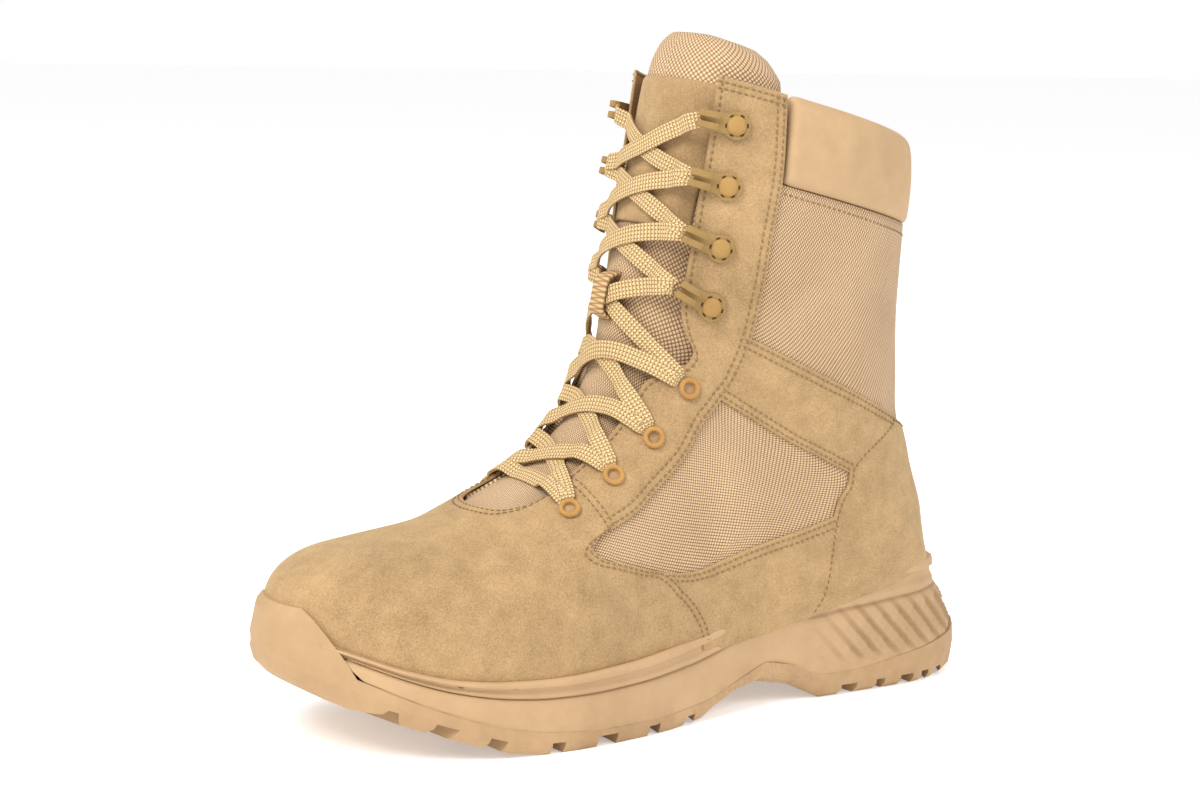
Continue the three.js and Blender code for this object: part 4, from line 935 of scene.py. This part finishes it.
# EYELETS
# Four rolled brass rings set through each facing, for the lace to pass down through.
brass = napped("eyelet_brass", (196, 152, 92), (140, 100, 56), 0.5, 0.2, 0.1,
               metal=0.35)
EYELETS = [(6.67, 33.2, -26), (7.88, 32.2, -27), (9.14, 31.3, -28.5), (10.78, 31, -30)]
HOOKS = [(14.01, 32.4, -32.4), (15.37, 33.9, -33.9), (16.65, 34.4, -34.4), (17.52, 34.2, -34.2)]
SIDES = {"lateral": 0, "medial": 1}


def any_front_angle(ring, y):
    """As front_angle, for either side of the middle: past pi on the inner side."""
    turn, side = front_turn(ring, y)
    return math.pi - side * turn


def placed(point, side_name, lift):
    """A frame on the facing: x towards the throat, y up the boot and z out of the leather."""
    ring, y = point[0], point[1 + SIDES[side_name]]
    angle = any_front_angle(ring, y)
    out = Vector(outward(ring, angle))
    toward = any_front_angle(ring, y * 0.9)
    across = Vector(on_last(ring, toward, 0)) - Vector(on_last(ring, angle, 0))
    across = (across - out * across.dot(out)).normalized()
    up = out.cross(across)
    return Matrix.Translation(on_last(ring, angle, lift)) @ Matrix(
        (across, up, out)).transposed().to_4x4()


RING_SECTION = [(2.3, -3.4), (2.3, 0.9), (2.6, 1.5), (3.2, 1.8), (3.9, 1.55), (4.25, 0.9), (4.2, 0.3)]


def spun(mesh, section, where, steps=28):
    """Turns a section of radius and height round z in an empty mesh, and puts it where it goes."""
    verts = [mesh.verts.new((radius * MM, 0, height * MM)) for radius, height in section]
    edges = [mesh.edges.new(pair) for pair in zip(verts, verts[1:])]
    bmesh.ops.spin(mesh, geom=verts + edges, cent=(0, 0, 0), axis=(0, 0, 1),
                   angle=2 * math.pi, steps=steps, use_merge=True)
    bmesh.ops.remove_doubles(mesh, verts=mesh.verts, dist=1e-6)
    bmesh.ops.transform(mesh, matrix=where, verts=mesh.verts)


for side_name in SIDES:
    for number, point in enumerate(EYELETS, 1):
        mesh = bmesh.new()
        spun(mesh, RING_SECTION, placed(point, side_name, 1.3))
        bmesh.ops.recalc_face_normals(mesh, faces=mesh.faces)
        ring = make_piece(f"eyelet_ring_{side_name}_{number}", mesh, brass)
        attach(ring, "boot")
        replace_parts(ring, f"eyelet_{side_name}_{number}")

# HOOKS
# Painted steel: a round plate held by a domed rivet, running forward as a neck that is folded
# over itself, so that the lace slides through between the fold and the plate.
painted = napped("hook_paint", (164, 134, 84), (120, 94, 54), 0.45, 0.2, 0.1,
                 metal=0.2)
rivet_metal = napped("rivet_metal", (180, 144, 88), (140, 108, 62), 0.5, 0.2, 0.1,
                     metal=0.25)
slot_dark = napped("slot_shadow", (70, 52, 34), (40, 30, 20), 0.5, 0.2, 0.05)
PLATE_RADIUS, PLATE_THICK, NECK_HALF, TIP, FOLD_HIGH, FOLD_FROM = 5.4, 1.0, 3.45, 15.4, 4.4, 7.0
RIVET_SECTION = [(3.75, 0.9), (3.7, 1.3), (3.4, 1.75), (2.4, 2.15), (1.2, 2.3), (0.02, 2.34)]
for side_name in SIDES:
    for number, point in enumerate(HOOKS, 1):
        where = placed(point, side_name, 1.9)
        mesh = bmesh.new()
        opening = math.asin(NECK_HALF / PLATE_RADIUS) + 0.12
        turns = np.linspace(opening, 2 * math.pi - opening, 29)
        outline = [(PLATE_RADIUS * math.cos(t), PLATE_RADIUS * math.sin(t)) for t in turns]
        outline += [(TIP - 1.2, -NECK_HALF), (TIP - 1.2, NECK_HALF)]
        base = mesh.faces.new([mesh.verts.new((x * MM, y * MM, 0)) for x, y in outline])
        top = bmesh.ops.extrude_face_region(mesh, geom=[base])
        raised = [item for item in top["geom"] if isinstance(item, bmesh.types.BMVert)]
        bmesh.ops.translate(mesh, verts=raised, vec=(0, 0, PLATE_THICK * MM))
        bend = [(TIP - 1.6, 0.5)] + [
            (TIP - 1.6 + 1.7 * math.sin(t), FOLD_HIGH / 2 + 0.25 - (FOLD_HIGH / 2 - 0.25) * math.cos(t))
            for t in np.linspace(0.3, math.pi - 0.1, 9)] + [(FOLD_FROM + 2, FOLD_HIGH - 0.1),
                                                           (FOLD_FROM, FOLD_HIGH - 0.7)]
        for low, high in ((-NECK_HALF, -0.9), (0.9, NECK_HALF)):
            strip = [mesh.verts.new((x * MM, low * MM, z * MM)) for x, z in bend]
            edges = [mesh.edges.new(pair) for pair in zip(strip, strip[1:])]
            wide = bmesh.ops.extrude_edge_only(mesh, edges=edges)
            moved = [item for item in wide["geom"] if isinstance(item, bmesh.types.BMVert)]
            bmesh.ops.translate(mesh, verts=moved, vec=(0, (high - low) * MM, 0))
            faces = [item for item in wide["geom"] if isinstance(item, bmesh.types.BMFace)]
            bmesh.ops.solidify(mesh, geom=faces, thickness=0.9 * MM)
        bmesh.ops.transform(mesh, matrix=where, verts=mesh.verts)
        bmesh.ops.recalc_face_normals(mesh, faces=mesh.faces)
        hook = make_piece(f"lace_hook_{side_name}_{number}", mesh, painted, smooth=False)
        soft = hook.modifiers.new("soft", "BEVEL")
        soft.width, soft.segments, soft.limit_method = 0.25 * MM, 2, "ANGLE"
        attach(hook, "boot")
        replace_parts(hook, f"hook_{side_name}_{number}")
        mesh = bmesh.new()
        spun(mesh, RIVET_SECTION, where)
        for turn in range(6):
            slot_at = where @ Matrix.Rotation(turn * math.pi / 3 + 0.2, 4, "Z") @ Matrix.Translation(
                (4.15 * MM, 0, 1.0 * MM)) @ (Matrix.Diagonal((0.5, 1.5, 0.5)) * MM).to_4x4()
            made = bmesh.ops.create_cube(mesh, size=1, matrix=slot_at)
            for face in {face for vert in made["verts"] for face in vert.link_faces}:
                face.material_index = 1
        bmesh.ops.recalc_face_normals(mesh, faces=mesh.faces)
        rivet = make_piece(f"hook_rivet_{side_name}_{number}", mesh, rivet_metal, slot_dark)
        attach(rivet, "boot")

# LACE AND KEEPER
# One flat braided lace, 7 mm wide, laid crosswise from the lowest eyelets to the top hooks, with a
# straight bar across the lowest pair. It passes under a webbing loop sewn to the tongue.
braid, braid_in, braid_out = effect(
    "braid", {"Yarn": (0.7, 0.5, 0.3, 1), "Gap": (0.4, 0.25, 0.15, 1), "Pitch": 0.0011},
    ("Color", "Roughness", "Height"))
place = add(braid, "ShaderNodeUVMap", uv_map="cloth").outputs[0]
spot = add(braid, "ShaderNodeTexCoord").outputs["Object"]
axes = add(braid, "ShaderNodeSeparateXYZ", {0: place}).outputs
turns = math_node(braid, "DIVIDE", math.pi, braid_in.outputs["Pitch"])
run = math_node(braid, "MULTIPLY", axes[0], turns)
lane = math_node(braid, "MULTIPLY", axes[1], turns)
arrow = math_node(braid, "ADD", run, math_node(braid, "MULTIPLY", math_node(
    braid, "ABSOLUTE", math_node(braid, "SINE", lane)), 1.4))
yarn = math_node(braid, "MULTIPLY", math_node(braid, "ABSOLUTE", math_node(braid, "SINE", arrow)),
                 math_node(braid, "POWER", math_node(braid, "ABSOLUTE", math_node(
                     braid, "SINE", lane)), 0.5))
flecks = math_node(braid, "MULTIPLY_ADD", noise(braid, spot, 700.0, 2.0, 0.7), 0.5, 0.7)
shade = math_node(braid, "MULTIPLY", spread(braid, yarn, 0.05, 0.7), flecks)
braid.links.new(mix_colour(braid, shade, braid_in.outputs["Gap"], braid_in.outputs["Yarn"]),
                braid_out.inputs["Color"])
braid.links.new(math_node(braid, "MULTIPLY_ADD", yarn, -0.1, 0.85), braid_out.inputs["Roughness"])
braid.links.new(yarn, braid_out.inputs["Height"])
lace_finish = finish_of("lace_braid", braid, {
    "Yarn": srgb(222, 192, 142), "Gap": srgb(128, 98, 60), "Pitch": 0.0015}, 0.9)

LACE_WIDTH, LACE_THICK, ON_FACING, ON_TONGUE, OVER = 7, 1.5, 2.9, -1.2, 1.4
LACE_RIM = [  # share of the half width, share of the half thickness
    (1, 0), (0.93, 0.75), (0.75, 1), (0.4, 0.85), (0, 0.8), (-0.4, 0.85), (-0.75, 1), (-0.93, 0.75),
    (-1, 0), (-0.93, -0.75), (-0.6, -1), (0, -0.9), (0.6, -1), (0.93, -0.75),
]
TO_EYELET, TO_HOOK, IN_HOOK = 1.0, 7.0, 4.3
lacing = [(ring, outer - TO_EYELET, inner + TO_EYELET, True) for ring, outer, inner in EYELETS] + [
    (ring, outer - TO_HOOK, inner + TO_HOOK, False) for ring, outer, inner in HOOKS]


def lace_run(name, start, end, over):
    """start and end each say a ring, a y, and whether the lace goes down an eyelet there."""
    share = np.concatenate([[0, 0.012], np.linspace(0.03, 0.97, 44), [0.988, 1]])
    ring = start[0] + (end[0] - start[0]) * share
    y = start[1] + (end[1] - start[1]) * share
    angle = any_front_angle(ring, y)
    path, out = on_last(ring, angle, 0) / MM, outward(ring, angle)
    run = np.concatenate([[0], np.cumsum(np.linalg.norm(np.diff(path, axis=0), axis=1))])
    ends = (np.where(start[2], run, 99), np.where(end[2], run[-1] - run, 99))
    near = np.minimum(*ends)
    dive = 1 - smooth_step((near - 0.3) / 4.2)
    hooked = np.where(start[2], 0, 1 - smooth_step((run - 4) / 7)) + np.where(
        end[2], 0, 1 - smooth_step((run[-1] - run - 4) / 7))
    along = np.gradient(path, axis=0)
    along /= np.linalg.norm(along, axis=1)[:, None]
    wide = np.cross(along, out)
    wide /= np.linalg.norm(wide, axis=1)[:, None]
    half = LACE_WIDTH / 2 * (1 - 0.52 * dive)
    if not start[2]:
        half = half * (0.88 + 0.12 * smooth_step(run / 8))
    if not end[2]:
        half = half * (0.88 + 0.12 * smooth_step((run[-1] - run) / 8))

    def place(u, v):
        row, index = np.rint(u * (len(share) - 1)).astype(int), np.rint(v * len(LACE_RIM)).astype(int)
        rim = np.array(LACE_RIM)[index % len(LACE_RIM)]
        point = path[row] + wide[row] * (rim[..., 0] * half[row])[..., None]
        edge = np.minimum(throat_half(ring[row]) - point[..., 1], point[..., 1] - inner_throat(ring[row]))
        inside = smooth_step((edge - 2) / 8)
        level = ON_FACING + (ON_TONGUE + over - ON_FACING) * inside
        level = level * (1 - dive[row]) - 0.5 * dive[row]
        level = level + (IN_HOOK - level) * hooked[row]
        thick = LACE_THICK / 2 * (1 + 0.5 * dive[row])
        return (point + out[row] * (level + rim[..., 1] * thick)[..., None]) * MM

    mesh = sheet_mesh(np.linspace(0, 1, len(share)), np.linspace(0, 1, len(LACE_RIM) + 1), place,
                      closed_u=True)
    bmesh.ops.holes_fill(mesh, edges=mesh.edges)
    bmesh.ops.recalc_face_normals(mesh, faces=mesh.faces)
    piece = make_piece(name, mesh, lace_finish)
    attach(piece, "boot")
    return piece


def lace_end(number, side):
    ring, outer, inner, eyelet = lacing[number]
    return ring, (outer, inner)[side], eyelet


bar = lace_run("lace_bar", lace_end(0, 0), lace_end(0, 1), 0)
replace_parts(bar, "lace")
for number in range(len(lacing) - 1):
    lace_run(f"lace_under_{number + 1}", lace_end(number, 0), lace_end(number + 1, 1), 0)
    lace_run(f"lace_over_{number + 1}", lace_end(number, 1), lace_end(number + 1, 0), OVER)

KEEPER = {"low": 11.4, "high": 13.7, "half": 4, "thick": 1.2, "foot": -3.6, "top": 3.0}


def lay_keeper(u, v):
    ring = KEEPER["low"] + (KEEPER["high"] - KEEPER["low"]) * u
    rise = 1 - np.abs(2 * u - 1) ** 6
    lift = KEEPER["foot"] + (KEEPER["top"] - KEEPER["foot"]) * rise
    return on_last(ring, any_front_angle(ring, (2 * v - 1) * KEEPER["half"]), lift)


keeper_mesh = sheet_mesh(np.linspace(0, 1, 40), np.linspace(0, 1, 9), lay_keeper)
face_out(keeper_mesh, lambda at: Vector((1, 0, 0)))
keeper = make_piece("keeper_loop", keeper_mesh, finish_of("webbing", weave, {
    "Yarn": srgb(206, 172, 124), "Gap": srgb(140, 108, 70), "Pitch": 0.0022, "Lean": 0.12}, 0.8))
keeper.modifiers.new("wall", "SOLIDIFY").thickness = KEEPER["thick"] * MM
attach(keeper, "boot")
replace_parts(keeper, "lace_keeper")

# SOLE
# A moulded rubber outsole with a lugged tread and a toe bumper, under a soft foam midsole.
# Moulded rubber and foam: dusty mottling that is stronger lower down, a fine grain, pebbles under the
# arch, and painted shade in the hollows between the heel ribs.
moulded, moulded_in, moulded_out = effect(
    "moulded", {"Clean": (0.6, 0.4, 0.2, 1), "DustAndShade": (0.5, 0.4, 0.3, 1), "RibShade": 1.0, "Pebbles": 1.0},
    ("Color", "Roughness", "Height"))
spot = add(moulded, "ShaderNodeTexCoord").outputs["Object"]
axes = add(moulded, "ShaderNodeSeparateXYZ", {0: spot}).outputs


def window(tree, value, low, high, soft):
    """1 between low and high, falling to 0 over soft outside them."""
    rise = add(tree, "ShaderNodeMapRange", {0: value, 1: low - soft, 2: low}, clamp=True).outputs[0]
    fall = add(tree, "ShaderNodeMapRange", {0: value, 1: high, 2: high + soft, 3: 1.0, 4: 0.0},
               clamp=True).outputs[0]
    return math_node(tree, "MULTIPLY", rise, fall)


# Painted shade: the hollows between the midsole's slanting heel ribs are painted darker, as far as the
# finish asks for it.
rib_run = math_node(moulded, "SUBTRACT", axes[0], axes[2])
painted_rib_shade = math_node(moulded, "COSINE", math_node(moulded, "MULTIPLY", rib_run, 2 * math.pi / 0.0095))
painted_rib_shade = spread(moulded, painted_rib_shade, 0.1, -0.9)
rib_area = math_node(moulded, "MULTIPLY", window(moulded, axes[0], -0.07, 0.022, 0.024),
                     window(moulded, axes[2], 0.017, 0.034, 0.004))
painted_rib_shade = math_node(moulded, "MULTIPLY", math_node(moulded, "MULTIPLY", painted_rib_shade, rib_area),
                    moulded_in.outputs["RibShade"])
cells = add(moulded, "ShaderNodeTexVoronoi", {"Vector": spot, "Scale": 520.0}).outputs["Distance"]
pebble_area = math_node(moulded, "MULTIPLY", window(moulded, axes[0], 0.045, 0.118, 0.004),
                        window(moulded, axes[2], 0.008, 0.024, 0.003))
pebbles = math_node(moulded, "MULTIPLY", math_node(moulded, "MULTIPLY", spread(
    moulded, cells, 0.7, 0.1), pebble_area), moulded_in.outputs["Pebbles"])
fine = noise(moulded, spot, 2200.0, 2.0, 0.6)
dust_and_rib_shade = spread(moulded, noise(moulded, spot, 45.0, 5.0, 0.65), 0.35, 0.7)
low_part = spread(moulded, axes[2], 0.02, 0.0)
dust_and_rib_shade = math_node(moulded, "MULTIPLY", math_node(moulded, "MULTIPLY_ADD", low_part, 0.45, 0.4), dust_and_rib_shade)
# The painted rib shade joins the dust here, so this share darkens the colour both for real dust and for
# painted shade.
dust_and_rib_shade = math_node(moulded, "MULTIPLY_ADD", painted_rib_shade, 0.75, dust_and_rib_shade)
moulded.links.new(mix_colour(moulded, dust_and_rib_shade, moulded_in.outputs["Clean"], moulded_in.outputs["DustAndShade"]),
                  moulded_out.inputs["Color"])
moulded.links.new(math_node(moulded, "MULTIPLY_ADD", dust_and_rib_shade, 0.15, 0.62), moulded_out.inputs["Roughness"])
height = math_node(moulded, "MULTIPLY_ADD", fine, 0.06, pebbles)
moulded.links.new(height, moulded_out.inputs["Height"])
# The foam below takes painted shade in the hollows between its heel ribs; the rubber takes none.
rubber = finish_of("sole_rubber", moulded, {
    "Clean": srgb(178, 146, 108), "DustAndShade": srgb(144, 114, 80), "RibShade": 0.0, "Pebbles": 0.6}, 0.8,
    distance=0.0009)
foam = finish_of("midsole_foam", moulded, {
    "Clean": srgb(184, 152, 114), "DustAndShade": srgb(154, 123, 88), "RibShade": 1.0, "Pebbles": 0.0}, 0.3,
    distance=0.0004)
sockliner = napped("sockliner_felt", (150, 120, 90), (104, 80, 58), 0.4, 0.4, 0.4)
for node, finish in (("outsole", rubber), ("insole", sockliner)):
    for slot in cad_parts[node].material_slots:
        slot.material = finish

# The midsole's flank: a bead under the suede, a hollow channel and a crease below it, then a broad
# wall that carries slanting ribs round the heel. It tucks in under the suede and over the rubber.
HEEL_END, TOE_END = -50, 267
OUTLINE = [  # x, outer reach, inner reach
    (-50, 0, 0), (-44, 17, -17), (-31, 28.5, -28.5), (-8, 36, -36), (20, 37.5, -37.5),
    (60, 39, -36.5), (100, 45.5, -34), (135, 54, -38), (165, 57.5, -44.5), (195, 56.5, -49.5),
    (222, 50, -49), (243, 37.5, -42), (258, 21.5, -27), (267, -2, -2),
]
RUBBER_TOP = [
    (-51, 21), (-41, 18), (-28, 16.5), (0, 13), (24, 10), (43, 10), (52, 15), (64, 19.5), (80, 15),
    (95, 9.5), (108, 7), (140, 6.5), (176, 8.5), (190, 11), (212, 17.5), (230, 24.5), (248, 32.5),
    (268, 40),
]
SEAT_INSET = [(-51, 19), (-41, 15), (-28, 9), (0, 3), (24, 1.5), (248, 1.5), (268, 2)]
FLANK = [  # share of the height, share of the seat's inset, and a further inset
    (-0.14, 0.1, 1.6), (-0.03, 0.1, 0.6), (0.04, 0.12, 0.1), (0.3, 0.3, 0.0), (0.55, 0.52, 0.4),
    (0.6, 0.56, 1.0), (0.625, 0.6, 2.2), (0.65, 0.63, 1.0), (0.72, 0.7, 0.6), (0.79, 0.77, 1.1),
    (0.86, 0.82, 1.0), (0.89, 0.84, -0.7), (0.94, 0.9, -1.2), (1.0, 0.95, -1.2), (1.03, 1.0, 0.2),
    (1.0, 1.0, 4.2),
]
RIB = {"pitch": 9.5, "high": 2.3, "ahead": 48, "low": 0.05, "top": 0.56}
BUMPER_BACK, BUMPER_LEAN, BUMPER_LOW = 241.5, 0.54, 22


def sole_turn(x):
    return np.arccos(1 - 2 * (x - HEEL_END) / (TOE_END - HEEL_END)) / math.pi


rows = np.array(OUTLINE, float)
outer_reach = monotone(sole_turn(rows[:, 0]), rows[:, 1])
inner_reach = monotone(sole_turn(rows[:, 0]), rows[:, 2])
rubber_top, seat_inset = monotone(*zip(*RUBBER_TOP)), monotone(*zip(*SEAT_INSET))


def sole_edge(turn, inset):
    """The outline drawn in by inset. turn is 0 at the heel, 1 at the toe and negative inside."""
    def point(at):
        x = HEEL_END + (TOE_END - HEEL_END) * (1 - np.cos(math.pi * at)) / 2
        share = np.clip(np.abs(at), 0, 1)
        return np.stack([x, np.where(at >= 0, outer_reach(share), inner_reach(share))], -1)

    along = point(turn + 0.005) - point(turn - 0.005)
    along /= np.linalg.norm(along, axis=-1, keepdims=True)
    return point(turn) + np.stack([along[..., 1], -along[..., 0]], -1) * inset[..., None]


def lay_flank(u, v):
    shares, insets, extras = np.array(FLANK).T
    spot = v * (len(FLANK) - 1)
    share = np.interp(spot, range(len(FLANK)), shares)
    end = sole_turn(BUMPER_BACK + BUMPER_LEAN * np.clip(share * 22 + 4, 0, 30))
    turn = (1 - 2 * u) * end
    x = sole_edge(turn, 0 * turn)[..., 0]
    inset = seat_inset(x) * np.interp(spot, range(len(FLANK)), insets) + np.interp(
        spot, range(len(FLANK)), extras)
    low = rubber_top(x) + 0.3
    z = low + (seat(x) - low) * share
    ridge = (0.5 + 0.5 * np.cos(2 * math.pi * (x - z) / RIB["pitch"])) ** 0.8
    fade = np.clip((RIB["ahead"] - x) / 30, 0, 1) * np.clip((share - RIB["low"]) / 0.08, 0, 1) * (
        np.clip((RIB["top"] - share) / 0.06, 0, 1))
    inset = inset + 1.6 * fade - RIB["high"] * fade * ridge
    flat = sole_edge(turn, np.maximum(inset, 0.0))
    return np.concatenate([flat, z[..., None]], -1) * MM


flank_mesh = sheet_mesh(np.linspace(0, 1, 381), np.linspace(0, 1, 3 * (len(FLANK) - 1) + 1), lay_flank)
face_out(flank_mesh, lambda at: Vector((at.x - 0.11, at.y * 3, 0)).normalized())
flank = make_piece("midsole_flank", flank_mesh, foam)
flank.modifiers.new("wall", "SOLIDIFY").thickness = 1.5 * MM
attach(flank, "boot")
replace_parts(flank, "midsole")
